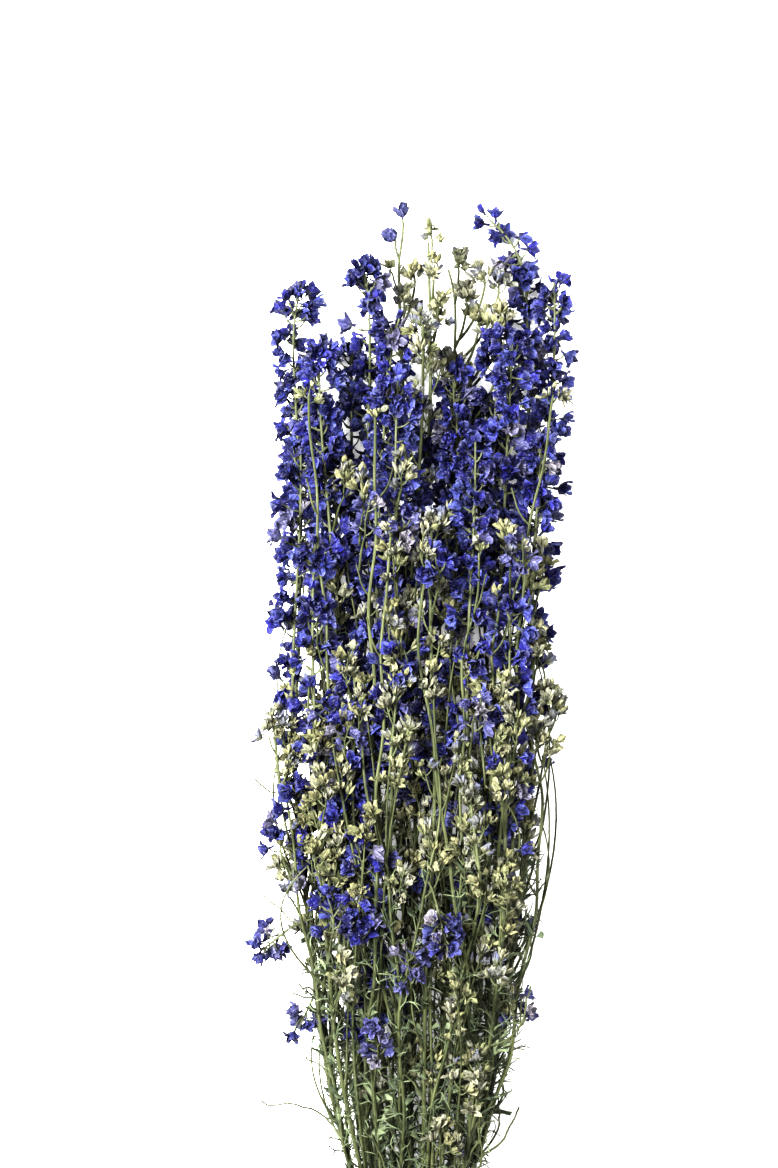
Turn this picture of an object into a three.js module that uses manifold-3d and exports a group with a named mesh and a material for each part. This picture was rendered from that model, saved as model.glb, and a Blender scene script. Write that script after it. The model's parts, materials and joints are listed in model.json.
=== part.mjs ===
// A bunch of dried delphinium, cut and tied, lying on a surface.
//
// The stems run along +Y from their cut ends, through one twine tie, to their flower spikes.
// +Z is up. Each stem is one green solid with its thread leaves and bud twigs. Each spike is
// one solid of blue florets or cream buds on a slim axis, and stands on the top of its stem or
// of a side shoot. The florets are fewer and larger than life, so that they clothe the spikes.
// All lengths are in millimetres.

import * as THREE from "three";
import { mergeVertices } from "three/addons/utils/BufferGeometryUtils.js";
import Module from "manifold-3d";

// ---- Driving dimensions ----

const CUT_Y = -398; // cut ends of the stems
const CUT_STAGGER = 12; // the ends aren't cut level
const TIE_Y = -345; // middle of the tie
const FULL_Y = 20; // from here up the bunch has its full width
const SPREAD_POWER = 1.9; // how early it opens above the tie
const LEAN_Y = 40; // from here up each stem leans to its own tip
const HOOK_LENGTH = 55; // of the stretch in which a hooked tip bends aside
const END_FLARE = 0.4; // the cut ends open again below the tie

const STEM_RADIUS_CUT = 1.65;
const STEM_RADIUS_TOP = 1.15;
const STEM_SIDES = 4;
const STEM_STEP = 66;
const SWAY = 2.2; // how far a stem wanders from its line
const SWAY_PITCH = 46; // along the stem, for each radian of that wander
const SWAY_TURN = 1.7; // radians from one stem's wander in X to the next stem's
const SWING_TURN = 2.3; // the same in Z

const TIE_PITCH_X = 3.75; // from stem to stem inside the tie
const TIE_PITCH_Z = 4.4; // from row to row inside the tie
const TIE_HALF = 8; // the stems run parallel this far to each side of the tie's middle
const TWINE = 2.4;
const TWINE_TURNS = 5;
const TWINE_RIDGE = [0.28, 0.72]; // share of a turn where its ridge starts and ends
const TWINE_GROOVE = 0.55; // depth of the band between two turns, as a share of the twine
const OUTLINE_SIDES = 16; // of the outline that the twine takes round the stems
const REST_Z = 0.6; // petals that hang lower than this are pressed flat on the surface
const GAP = 0.3; // between pieces that touch
const SLIVER = 0.02; // edges shorter than this are taken out

const LAYER_Z = [15, 42, 69, 96]; // heights of the four layers of spikes

// Blooms with petals: reach is from the root to the height of the petal tips, radius from the
// middle to the tips. mouth, notch and notchOut are shares of them, for the dished middle and
// the notches between the petals. tilt is in radians, up from square to the stalk.
const FLORET = { reach: 15.5, radius: 15, mouth: 0.54, notch: 0.6, notchOut: 0.56, petals: 5, tilt: 0.55 };
const CROWN = { reach: 15, radius: 9, mouth: 0.5, notch: 0.36, notchOut: 0.5, petals: 3, tilt: 1.2 };
const PETAL_HEIGHTS = [0.86, 1.12]; // least and most of a petal's reach, as shares of its form's
const PETAL_WIDTHS = [0.85, 1.08]; // the same of its tip's distance from the middle
const BLOOM_SIZES = [0.92, 1.08];
const FLORET_PITCH = 19; // along a spike, from floret to floret
const GOLDEN_ANGLE = 2.39996;
const TURN_SPREAD = 0.5; // radians that a bloom may be turned past its place in the spiral
const TIP_SIZE = 0.62; // of the florets at a spike's tip
const TIP_FROM = 0.55; // share of the spike where they start to shrink
const SPIKE_MARGIN_BASE = 8; // bare length at a spike's two ends
const SPIKE_MARGIN_TIP = 4;

const BUD_REACH = 11;
const BUD_RADIUS = 3.6;
const BUD_BELLY = 0.55; // share of the reach where a bud is widest
const BUD_SIDES = 4;
const BUD_TILT = 0.7;
const BUDS_PER_WHORL = 3;
const WHORL_PITCH = 24;

const CORE_RADIUS = { blue: 2, cream: 1.3 };
const CORE_TAPER = 0.45;
const CORE_STEP = 58;
const THIN_SIDES = 3; // of the cores of spikes and of all twigs and leaves
const CLEARANCE = 1.3; // kept between pieces of different plants

// A leaf or twig leaves its stem and bends up beside it. Its middle and its tip are [out, up],
// as shares of its length.
const TWIG_MIDDLE = [0.3, 0.26];
const TWIG_TIP = [0.42, 0.8];
const LEAF_RADIUS = 0.75;
const LEAF_LENGTHS = [35, 53];
const LEAVES_PER_STEM = 3;
const LEAF_LOW_Y = -268;
const LEAF_HIGH_Y = -60;
const LEAF_BELOW_SPIKE = 30;
const SHOOT_RADIUS = 0.95;
const SHOOT_TAPER = 0.85;
const SHOOT_BEND = 0.6; // of a side shoot, as a share of its length
const SHOOT_PIECES = 4;
const BUD_TWIG_LENGTH = 26;
const BUD_TWIG_TAPER = 0.8;
const BUD_TWIG_PITCH = 165;
const BUD_TWIG_SPREAD = 0.8; // how far up from its place it may stand, as a share of the pitch
const BUD_TWIG_LOW_Y = -120;
const BUD_TWIG_HIGH_Y = 110;
const BUD_TWIG_BELOW_SPIKE = 45;
const CROWN_SINK = 3; // how deep a crown's root sits in its twig

// ---- The plants ----
// layer is the height in the bunch, 0 lowest. column is the stem's X where the bunch has its
// full width. tip is where the spike ends, [X, Y], length is the spike's length, and hook is
// how far its tip bends aside. A blue spike bears florets, and a cream one buds in whorls.

const STEMS = [
  { layer: 0, column: -60, tip: [-66, 262], length: 170, kind: "blue" },
  { layer: 0, column: -34, tip: [-42, 296], length: 175, kind: "blue" },
  { layer: 0, column: -6, tip: [-6, 383], length: 105, kind: "cream", hook: -6 },
  { layer: 0, column: 24, tip: [31, 349], length: 95, kind: "cream", hook: -7 },
  { layer: 0, column: 49, tip: [46, 258], length: 170, kind: "blue" },
  { layer: 0, column: 74, tip: [76, 381], length: 180, kind: "blue", hook: -22 },

  { layer: 1, column: -74, tip: [-76, 335], length: 195, kind: "blue", hook: 6 },
  { layer: 1, column: -49, tip: [-49, 236], length: 165, kind: "blue" },
  { layer: 1, column: -24, tip: [-30, 350], length: 190, kind: "blue", hook: -4 },
  { layer: 1, column: 1, tip: [13, 364], length: 120, kind: "cream" },
  { layer: 1, column: 26, tip: [29, 278], length: 180, kind: "blue" },
  { layer: 1, column: 51, tip: [57, 306], length: 180, kind: "blue" },
  { layer: 1, column: 76, tip: [92, 338], length: 195, kind: "blue" },

  { layer: 2, column: -75, tip: [-74, 226], length: 190, kind: "blue" },
  { layer: 2, column: -50, tip: [-58, 297], length: 185, kind: "blue" },
  { layer: 2, column: -25, tip: [-15, 312], length: 180, kind: "blue", hook: 5 },
  { layer: 2, column: 0, tip: [5, 306], length: 110, kind: "cream" },
  { layer: 2, column: 25, tip: [28, 250], length: 180, kind: "blue" },
  { layer: 2, column: 50, tip: [66, 296], length: 180, kind: "blue" },
  { layer: 2, column: 75, tip: [84, 232], length: 175, kind: "blue" },

  { layer: 3, column: -61, tip: [-62, 168], length: 170, kind: "blue" },
  { layer: 3, column: -36, tip: [-36, 92], length: 180, kind: "blue" },
  { layer: 3, column: -13, tip: [-8, 270], length: 190, kind: "blue" },
  { layer: 3, column: 12, tip: [14, 178], length: 90, kind: "cream" },
  { layer: 3, column: 37, tip: [38, 232], length: 190, kind: "blue" },
  { layer: 3, column: 62, tip: [60, 142], length: 170, kind: "blue" },
];

// Side shoots: each leaves the stem of number parent, counted from 0, at height root, runs to
// base, and bears a small spike from there to tip.
const SHOOTS = [
  { parent: 13, root: -112, base: [-80, -82, 76], tip: [-102, -100, 72], kind: "blue" },
  { parent: 6, root: -178, base: [-65, -130, 54], tip: [-74, -150, 48], kind: "blue" },
  { parent: 13, root: -46, base: [-85, 10, 84], tip: [-89, 52, 88], kind: "cream" },
  { parent: 23, root: -140, base: [15, -62, 112], tip: [24, -98, 116], kind: "blue" },
  { parent: 19, root: -20, base: [84, 24, 78], tip: [91, 64, 80], kind: "cream" },
  { parent: 22, root: -60, base: [-14, 30, 116], tip: [-10, 72, 117], kind: "cream" },
  { parent: 24, root: -80, base: [42, -40, 114], tip: [36, 6, 118], kind: "cream" },
];

// ---- Numbers that are the same on every run ----

// Where the seeds of each kind of thing start.
const SEEDS = { cut: 7, leaves: 141, budTwigs: 201, spikes: 301, sideSpikes: 501 };

// A linear congruential generator.
function randomFrom(seed) {
  let state = (seed * 2654435761) >>> 0;
  return () => {
    state = (Math.imul(state, 1664525) + 1013904223) >>> 0;
    return state / 4294967296;
  };
}

const lerp = (a, b, t) => a + (b - a) * t;
const clamp = (t) => Math.min(Math.max(t, 0), 1);
const smooth = (t) => clamp(t) * clamp(t) * (3 - 2 * clamp(t));

// ---- Where each stem runs ----

function seatInTie(index) {
  const stem = STEMS[index];
  const row = STEMS.filter((other) => other.layer === stem.layer);
  row.sort((a, b) => a.column - b.column);
  const middle = (row.length - 1) / 2;
  const rows = (LAYER_Z.length - 1) / 2;
  return [(row.indexOf(stem) - middle) * TIE_PITCH_X, (stem.layer - rows) * TIE_PITCH_Z];
}

const SEATS = STEMS.map((_, index) => seatInTie(index));
const TIE_DEPTH = (STEM_RADIUS_CUT + GAP + TWINE) * Math.cos(Math.PI / OUTLINE_SIDES);
const TIE_Z = REST_Z + ((LAYER_Z.length - 1) / 2) * TIE_PITCH_Z + TIE_DEPTH;

// How far the bunch has opened at height y: 0 inside the tie, 1 at its full width.
function spread(y) {
  const t = clamp((y - TIE_Y - TIE_HALF) / (FULL_Y - TIE_Y - TIE_HALF));
  return 1 - Math.pow(1 - t, SPREAD_POWER);
}

function stemPoint(index, y) {
  const { layer, column, tip, hook = 0 } = STEMS[index];
  const [seatX, seatZ] = SEATS[index];
  const open = spread(y);
  const flare = 1 + END_FLARE * clamp((TIE_Y - TIE_HALF - y) / (TIE_Y - TIE_HALF - CUT_Y));
  const lean = smooth((y - LEAN_Y) / (tip[1] - LEAN_Y));
  const nod = Math.pow(clamp(1 - (tip[1] - y) / HOOK_LENGTH), 3);
  const sway = SWAY * open * Math.sin(y / SWAY_PITCH + index * SWAY_TURN);
  const swing = SWAY * open * Math.cos(y / SWAY_PITCH + index * SWING_TURN);
  const x = lerp(seatX * flare, column, open) + (tip[0] - column) * lean + hook * nod + sway;
  const z = lerp(TIE_Z + seatZ * flare, LAYER_Z[layer], open) + swing;
  return new THREE.Vector3(x, y, z);
}

const cutY = (index) => CUT_Y + CUT_STAGGER * randomFrom(SEEDS.cut + index)();
const spikeBaseY = (index) => STEMS[index].tip[1] - STEMS[index].length;

// A stem's line from height low to height high, as points about a given step apart.
function stretch(index, low, high, step) {
  const count = Math.max(Math.round((high - low) / step), 1);
  return Array.from({ length: count + 1 }, (_, i) => stemPoint(index, lerp(low, high, i / count)));
}

const stemEnd = (index) => spikeBaseY(index) - GAP;

// The stem itself, from its cut end to where its spike stands, as straight pieces.
function stemLine(index) {
  return [
    stemPoint(index, cutY(index)),
    ...stretch(index, TIE_Y - TIE_HALF, TIE_Y + TIE_HALF, 2 * TIE_HALF),
    ...stretch(index, TIE_Y + TIE_HALF, stemEnd(index), STEM_STEP).slice(1),
  ];
}

const spikeLine = (index) => stretch(index, spikeBaseY(index), STEMS[index].tip[1], CORE_STEP);

// The point of the stem's straight pieces at height y.
function onStem(index, y) {
  const line = stemLine(index);
  const above = line.findIndex((p) => p.y > y);
  const [a, b] = [line[above - 1], line[above]];
  return a.clone().lerp(b, (y - a.y) / (b.y - a.y));
}

// The straight pieces between points, as one curve.
function pathThrough(line) {
  const path = new THREE.CurvePath();
  for (let i = 1; i < line.length; i++) path.add(new THREE.LineCurve3(line[i - 1], line[i]));
  return path;
}

// ---- Room: balls that no piece of another plant may enter ----

const STEM_BALL_STEP = 5;
const STEM_BALL_RADIUS = 2;
const SHOOT_BALL_STEP = 3;
const SHOOT_BALL_RADIUS = 1.2;
const TWIG_BALL_STEP = 4;

// The balls of a bud stand on its axis: how far up, as a share of its reach, and how large, as a
// share of its radius.
const BUD_BALLS = [[0.35, 0.7], [0.6, 0.95], [0.88, 0.4]];

// The balls of a petal lie between the mouth and its tip, at these shares of the way, and shrink
// from the first to the last of two shares of the bloom's radius. One more fills the throat.
const PETAL_BALLS = [0.45, 0.7, 0.95];
const PETAL_BALL_SIZES = [0.33, 0.06];
const THROAT_BALL_RADIUS = 2.6;
const THROAT_BALL_HEIGHT = 0.85;

const balls = [];

function ball(point, radius) {
  return Object.assign(point.clone(), { radius });
}

function isClear(owner, points) {
  const touches = (b, p) => b.distanceTo(p) < b.radius + p.radius + CLEARANCE;
  return points.every((p) => p.z > 0 && !balls.some((b) => b.owner !== owner && touches(b, p)));
}

// The same for a twig, which may touch its own stem only at its root, and isn't pressed flat.
function isTwigClear(owner, points) {
  const isUp = points.every((p) => p.z - p.radius > REST_Z + CLEARANCE);
  return isUp && isClear(owner, points.slice(0, 2)) && isClear(null, points.slice(2));
}

function claim(owner, points) {
  for (const p of points) balls.push(Object.assign(p, { owner }));
}

function ballsAlong(line, step, radius) {
  const path = pathThrough(line);
  const count = Math.max(Math.round(path.getLength() / step), 1);
  return path.getSpacedPoints(count).map((p) => ball(p, radius));
}

// ---- Blooms ----
// A bloom is a blue floret, a cream bud or a crown, which is three buds that spread from one
// point. Its throat starts at root on the stalk that bears it, it opens along axis, and side
// turns it. petals tells how far each petal reaches.

// A point of a bloom at the given height along its axis and distance out from it, at a share
// of the turn round it.
function bloomPoint({ root, axis, side }, height, out, share) {
  const turn = share * 2 * Math.PI;
  const across = new THREE.Vector3().crossVectors(axis, side);
  const p = root.clone().addScaledVector(axis, height);
  p.addScaledVector(side, out * Math.cos(turn));
  return p.addScaledVector(across, out * Math.sin(turn));
}

function bloomAt(root, up, turn, tilt) {
  const out = new THREE.Vector3().crossVectors(up, new THREE.Vector3(0, 0, 1)).normalize();
  out.applyAxisAngle(up, turn);
  const side = new THREE.Vector3().crossVectors(up, out);
  const axis = out.applyAxisAngle(side, -tilt);
  return { root, axis, side };
}

function petalTip({ form, size, petals }, k) {
  return [form.reach * petals[k].height * size, form.radius * petals[k].out * size];
}

function budBalls(bloom) {
  const { size } = bloom;
  return BUD_BALLS.map(([up, swell]) =>
    ball(bloomPoint(bloom, BUD_REACH * up * size, 0, 0), BUD_RADIUS * swell * size),
  );
}

function petalBalls(bloom) {
  const { form, size } = bloom;
  const mouth = form.reach * form.mouth * size;
  const throat = bloomPoint(bloom, mouth * THROAT_BALL_HEIGHT, 0, 0);
  const found = [ball(throat, THROAT_BALL_RADIUS * size)];
  for (let k = 0; k < form.petals; k++) {
    const [height, out] = petalTip(bloom, k);
    for (const t of PETAL_BALLS) {
      const p = bloomPoint(bloom, lerp(mouth, height, t), out * t, k / form.petals);
      found.push(ball(p, form.radius * lerp(...PETAL_BALL_SIZES, t) * size));
    }
  }
  return found;
}

const bloomBalls = (bloom) => (bloom.form ? petalBalls(bloom) : budBalls(bloom));

const TURNS_TO_TRY = [0, 0.45, -0.45, 0.9, -0.9, 1.4, -1.4];
const SIZES_TO_TRY = [1, 0.82, 0.66];

// The first way to place a bloom that is clear of the other plants, or null.
function placeBloom(owner, root, up, turn, looks) {
  const tilt = looks.form ? looks.form.tilt : BUD_TILT;
  for (const shrink of SIZES_TO_TRY) {
    for (const more of TURNS_TO_TRY) {
      const bloom = { ...bloomAt(root, up, turn + more, tilt), ...looks, size: looks.size * shrink };
      const room = bloomBalls(bloom);
      if (isClear(owner, room)) {
        claim(owner, room);
        return bloom;
      }
    }
  }
  return null;
}

function randomPetals(form, random) {
  return Array.from({ length: form.petals }, () => ({
    height: lerp(...PETAL_HEIGHTS, random()),
    out: lerp(...PETAL_WIDTHS, random()),
  }));
}

// Blue florets spiral up the line, one at each pitch, and shrink towards the tip. Cream buds
// stand in whorls, with bare stalk between.
function placeSpike(owner, line, kind, seed) {
  const path = pathThrough(line);
  const length = path.getLength();
  const random = randomFrom(seed);
  const form = kind === "blue" ? FLORET : null;
  const [whorl, pitch] = form ? [1, FLORET_PITCH] : [BUDS_PER_WHORL, WHORL_PITCH];
  const clothed = length - SPIKE_MARGIN_BASE - SPIKE_MARGIN_TIP;
  const count = Math.max(Math.round((length - SPIKE_MARGIN_BASE) / pitch), 1);
  const placed = [];
  for (let i = 0; i < count; i++) {
    const t = (SPIKE_MARGIN_BASE + clothed * ((i + 0.5) / count)) / length;
    const full = lerp(1, TIP_SIZE, smooth((t - TIP_FROM) / (1 - TIP_FROM)));
    for (let k = 0; k < whorl; k++) {
      const turn = i * GOLDEN_ANGLE + (k / whorl) * 2 * Math.PI + random() * TURN_SPREAD;
      const looks = { form, size: full * lerp(...BLOOM_SIZES, random()) };
      if (form) looks.petals = randomPetals(form, random);
      const bloom = placeBloom(owner, path.getPointAt(t), path.getTangentAt(t), turn, looks);
      if (bloom) placed.push(bloom);
    }
  }
  return placed;
}

// ---- What grows on the stems: thread leaves, bud twigs and side shoots ----

const TWIG_TURNS_TO_TRY = [0, 0.6, -0.6, 1.2, -1.2, 2, -2, 2.8];

// A line that leaves the stem at height y and bends towards the stem's own direction.
function twigLine(index, y, turn, length) {
  const root = onStem(index, y);
  const up = onStem(index, y + 1).sub(root).normalize();
  const { axis: out } = bloomAt(root, up, turn, 0);
  const at = ([share, rise]) =>
    root.clone().addScaledVector(out, length * share).addScaledVector(up, length * rise);
  return [root, at(TWIG_MIDDLE), at(TWIG_TIP)];
}

function placeLeaves(index) {
  const owner = `stem${index}`;
  const random = randomFrom(SEEDS.leaves + index);
  const placed = [];
  const high = Math.min(LEAF_HIGH_Y, spikeBaseY(index) - LEAF_BELOW_SPIKE);
  for (let k = 0; k < LEAVES_PER_STEM; k++) {
    const y = lerp(LEAF_LOW_Y, high, (k + random()) / LEAVES_PER_STEM);
    const turn = random() * 2 * Math.PI;
    const length = lerp(...LEAF_LENGTHS, random());
    for (const more of TWIG_TURNS_TO_TRY) {
      const line = twigLine(index, y, turn + more, length);
      const room = ballsAlong(line, TWIG_BALL_STEP, LEAF_RADIUS);
      if (isTwigClear(owner, room)) {
        claim(owner, room);
        placed.push(line);
        break;
      }
    }
  }
  return placed;
}

// A bud twig is { line, crown }: a thin side twig with a crown of buds at its end.
function placeBudTwigs(index) {
  const owner = `stem${index}`;
  const random = randomFrom(SEEDS.budTwigs + index);
  const placed = [];
  const high = Math.min(spikeBaseY(index) - BUD_TWIG_BELOW_SPIKE, BUD_TWIG_HIGH_Y);
  for (let low = BUD_TWIG_LOW_Y; low < high; low += BUD_TWIG_PITCH) {
    const y = low + random() * Math.min(BUD_TWIG_PITCH * BUD_TWIG_SPREAD, high - low);
    const turn = random() * 2 * Math.PI;
    const petals = randomPetals(CROWN, random);
    for (const more of TWIG_TURNS_TO_TRY) {
      const line = twigLine(index, y, turn + more, BUD_TWIG_LENGTH);
      const up = line[2].clone().sub(line[1]).normalize();
      const root = line[2].clone().addScaledVector(up, -CROWN_SINK);
      const crown = { ...bloomAt(root, up, turn, CROWN.tilt), form: CROWN, size: 1, petals };
      const room = [...ballsAlong(line, TWIG_BALL_STEP, LEAF_RADIUS), ...bloomBalls(crown)];
      if (isTwigClear(owner, room)) {
        claim(owner, room);
        placed.push({ line, crown });
        break;
      }
    }
  }
  return placed;
}

function shootDirection({ base, tip }) {
  return new THREE.Vector3(...tip).sub(new THREE.Vector3(...base)).normalize();
}

// A side shoot leaves its stem and ends in the direction of the spike that it bears.
function shootLine(shoot) {
  const from = onStem(shoot.parent, shoot.root);
  const to = new THREE.Vector3(...shoot.base);
  const bend = to.clone().addScaledVector(shootDirection(shoot), -SHOOT_BEND * from.distanceTo(to));
  return new THREE.QuadraticBezierCurve3(from, bend, to).getPoints(SHOOT_PIECES);
}

function shootSpikeLine(shoot) {
  const start = new THREE.Vector3(...shoot.base).addScaledVector(shootDirection(shoot), GAP);
  const tip = new THREE.Vector3(...shoot.tip);
  return [start, tip];
}

// ---- Solids ----

const wasm = await Module();
wasm.setup();

function solidOf(geometry) {
  geometry.deleteAttribute("normal");
  geometry.deleteAttribute("uv");
  const merged = mergeVertices(geometry, 1e-4);
  return new wasm.Manifold(
    new wasm.Mesh({
      numProp: 3,
      vertProperties: merged.attributes.position.array,
      triVerts: new Uint32Array(merged.index.array),
    }),
  );
}

// A node's mesh, without the slivers that a join leaves.
function meshOf(name, solid, material) {
  const { vertProperties, triVerts } = solid.simplify(SLIVER).getMesh();
  const geometry = new THREE.BufferGeometry();
  geometry.setAttribute("position", new THREE.BufferAttribute(vertProperties, 3));
  geometry.setIndex(new THREE.BufferAttribute(triVerts, 1));
  geometry.computeVertexNormals();
  const mesh = new THREE.Mesh(geometry, material);
  mesh.name = name;
  return mesh;
}

// A rod through the given points, with a radius that runs from first to last. It ends in a
// point where last is 0.
function rod(points, first, last, sides) {
  const segments = points.length - 1;
  const geometry = new THREE.CylinderGeometry(last / first, 1, 1, sides, segments);
  const position = geometry.attributes.position;
  for (let i = 0; i < position.count; i++) {
    const t = position.getY(i) + 0.5;
    const at = Math.round(t * segments);
    const before = points[Math.max(at - 1, 0)];
    const after = points[Math.min(at + 1, segments)];
    const along = after.clone().sub(before).normalize();
    const level = new THREE.Vector3().crossVectors(along, new THREE.Vector3(0, 0, 1)).normalize();
    const rise = new THREE.Vector3().crossVectors(level, along);
    const p = points[at].clone();
    p.addScaledVector(level, position.getX(i) * first);
    p.addScaledVector(rise, position.getZ(i) * first);
    position.setXYZ(i, p.x, p.y, p.z);
  }
  return solidOf(geometry);
}

// Petals that stand round a dished mouth, on a throat that narrows to the root.
function petalSolid(bloom) {
  const { form, size } = bloom;
  const [reach, radius] = [form.reach * size, form.radius * size];
  const points = [bloom.root, bloomPoint(bloom, reach * form.mouth, 0, 0)];
  const faces = [];
  for (let k = 0; k < form.petals; k++) {
    points.push(bloomPoint(bloom, ...petalTip(bloom, k), k / form.petals));
    points.push(bloomPoint(bloom, reach * form.notch, radius * form.notchOut, (k + 0.5) / form.petals));
    const [tip, notch] = [2 + 2 * k, 3 + 2 * k];
    const before = k === 0 ? 1 + 2 * form.petals : notch - 2;
    faces.push(1, before, tip, 1, tip, notch);
    faces.push(0, notch, before, before, notch, tip);
  }
  return solidOf(new THREE.BufferGeometry().setFromPoints(points).setIndex(faces));
}

// A bud swells from its root to a belly and closes in a point.
function budSolid(bloom) {
  const { size } = bloom;
  const points = [bloom.root, bloomPoint(bloom, BUD_REACH * size, 0, 0)];
  const faces = [];
  for (let k = 0; k < BUD_SIDES; k++) {
    points.push(bloomPoint(bloom, BUD_REACH * BUD_BELLY * size, BUD_RADIUS * size, k / BUD_SIDES));
    const [here, next] = [2 + k, 2 + ((k + 1) % BUD_SIDES)];
    faces.push(0, next, here, 1, here, next);
  }
  return solidOf(new THREE.BufferGeometry().setFromPoints(points).setIndex(faces));
}

const bloomSolid = (bloom) => (bloom.form ? petalSolid(bloom) : budSolid(bloom));

function spikeSolid(line, kind, blooms) {
  const core = rod(line, CORE_RADIUS[kind], CORE_RADIUS[kind] * CORE_TAPER, THIN_SIDES);
  return wasm.Manifold.union([core, ...blooms.map(bloomSolid)]).trimByPlane([0, 0, 1], REST_Z);
}

const leafSolid = (line) => rod(line, LEAF_RADIUS, 0, THIN_SIDES);
const shootSolid = (shoot) => rod(shootLine(shoot), SHOOT_RADIUS, SHOOT_RADIUS * SHOOT_TAPER, THIN_SIDES);

function budTwigSolid({ line, crown }) {
  return rod(line, LEAF_RADIUS, LEAF_RADIUS * BUD_TWIG_TAPER, THIN_SIDES).add(petalSolid(crown));
}

// ---- The tie ----

// The outline that twine pulled tight takes at a given distance from the stems' middles, as
// points [x, z]: for each direction, the point beyond the stem that is furthest that way.
function outlineRoundStems(distance) {
  return Array.from({ length: OUTLINE_SIDES }, (_, k) => {
    const turn = ((k + 0.5) / OUTLINE_SIDES) * 2 * Math.PI;
    const [towardsX, towardsZ] = [Math.cos(turn), Math.sin(turn)];
    const reach = ([x, z]) => x * towardsX + z * towardsZ;
    const [x, z] = SEATS.reduce((best, seat) => (reach(seat) > reach(best) ? seat : best));
    return [x + distance * towardsX, z + distance * towardsZ];
  });
}

// One band with a ridge for each turn of twine, closed round the stems.
function tieSolid() {
  const inner = STEM_RADIUS_CUT + GAP;
  const low = TIE_Y - (TWINE_TURNS * TWINE) / 2;
  const section = [[inner, low + TWINE * TWINE_TURNS], [inner, low]];
  for (let k = 0; k < TWINE_TURNS; k++) {
    section.push([inner + TWINE * TWINE_GROOVE, low + TWINE * k]);
    for (const share of TWINE_RIDGE) section.push([inner + TWINE, low + TWINE * (k + share)]);
  }
  section.push([inner + TWINE * TWINE_GROOVE, low + TWINE * TWINE_TURNS]);
  const rings = section.map(([distance, y]) =>
    outlineRoundStems(distance).map(([x, z]) => new THREE.Vector3(x, y, TIE_Z + z)),
  );
  const faces = [];
  rings.forEach((_, i) => {
    const [here, next] = [i * OUTLINE_SIDES, ((i + 1) % rings.length) * OUTLINE_SIDES];
    for (let j = 0; j < OUTLINE_SIDES; j++) {
      const beside = (j + 1) % OUTLINE_SIDES;
      faces.push(here + j, next + j, here + beside, here + beside, next + j, next + beside);
    }
  });
  const geometry = new THREE.BufferGeometry().setFromPoints(rings.flat());
  geometry.setIndex(faces);
  return solidOf(geometry);
}

// ---- The bunch ----

const green = new THREE.MeshStandardMaterial({ color: 0x7d8356, roughness: 0.8 });
const blue = new THREE.MeshStandardMaterial({ color: 0x2c2a8c, roughness: 0.7 });
const cream = new THREE.MeshStandardMaterial({ color: 0xcfcf9e, roughness: 0.75 });
const jute = new THREE.MeshStandardMaterial({ color: 0xa98a5c, roughness: 0.9 });
const PETAL_MATERIALS = { blue, cream };

// What is on top chooses its room first.
const ORDER = STEMS.map((_, index) => index).reverse();
const shootsOf = (index) => SHOOTS.filter((shoot) => shoot.parent === index);

const blooms = [];
const leaves = [];
const budTwigs = [];
for (const index of ORDER) {
  claim(`stem${index}`, ballsAlong(stemLine(index), STEM_BALL_STEP, STEM_BALL_RADIUS));
  claim(`spike${index}`, ballsAlong(spikeLine(index), STEM_BALL_STEP, STEM_BALL_RADIUS));
  for (const shoot of shootsOf(index)) {
    claim(`stem${index}`, ballsAlong(shootLine(shoot), SHOOT_BALL_STEP, SHOOT_BALL_RADIUS));
  }
}
const shootBlooms = SHOOTS.map((shoot, k) =>
  placeSpike(`shoot${k}`, shootSpikeLine(shoot), shoot.kind, SEEDS.sideSpikes + k),
);
for (const index of ORDER) {
  const seed = SEEDS.spikes + index;
  blooms[index] = placeSpike(`spike${index}`, spikeLine(index), STEMS[index].kind, seed);
}
for (const index of ORDER) budTwigs[index] = placeBudTwigs(index);
for (const index of ORDER) leaves[index] = placeLeaves(index);

function stemSolid(index) {
  return wasm.Manifold.union([
    rod(stemLine(index), STEM_RADIUS_CUT, STEM_RADIUS_TOP, STEM_SIDES),
    ...shootsOf(index).map(shootSolid),
    ...leaves[index].map(leafSolid),
    ...budTwigs[index].map(budTwigSolid),
  ]);
}

const bunch = new THREE.Group();
const label = (index) => String(index + 1).padStart(2, "0");
STEMS.forEach(({ kind }, index) => {
  const spike = spikeSolid(spikeLine(index), kind, blooms[index]);
  bunch.add(meshOf(`stem_${label(index)}`, stemSolid(index), green));
  bunch.add(meshOf(`spike_${label(index)}_${kind}`, spike, PETAL_MATERIALS[kind]));
});
SHOOTS.forEach((shoot, k) => {
  const spike = spikeSolid(shootSpikeLine(shoot), shoot.kind, shootBlooms[k]);
  bunch.add(meshOf(`side_spike_${k + 1}_${shoot.kind}`, spike, PETAL_MATERIALS[shoot.kind]));
});
bunch.add(meshOf("twine_tie", tieSolid(), jute));

// The origin is the middle of the bunch's box, on the surface that it lies on.
const box = new THREE.Box3().setFromObject(bunch);
const middle = box.getCenter(new THREE.Vector3());
bunch.position.set(-middle.x, -middle.y, -box.min.z);

export default bunch;
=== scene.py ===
"""A bunch of dried delphinium, cut and tied, lying on a pale surface.

Every plant stands where the frame's solids have it: the same table of stems and the same formulas
give its line. Along those lines grow small shapes, each made once in a few forms: florets of
crumpled petals on thin stalks, buds in loose clusters and finely cut thread leaves. The stalks and
clusters over the front, the pale clusters among the tips, the round buds and the threads that bow
out at the sides have places of their own. Lengths are in millimetres in the bunch's own layout,
where +Y runs from the cut ends to the tips and +Z is up, and to_row() takes them to the frame, in
metres.
"""

import json
import math
import random
from collections import defaultdict, namedtuple
from functools import partial

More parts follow.
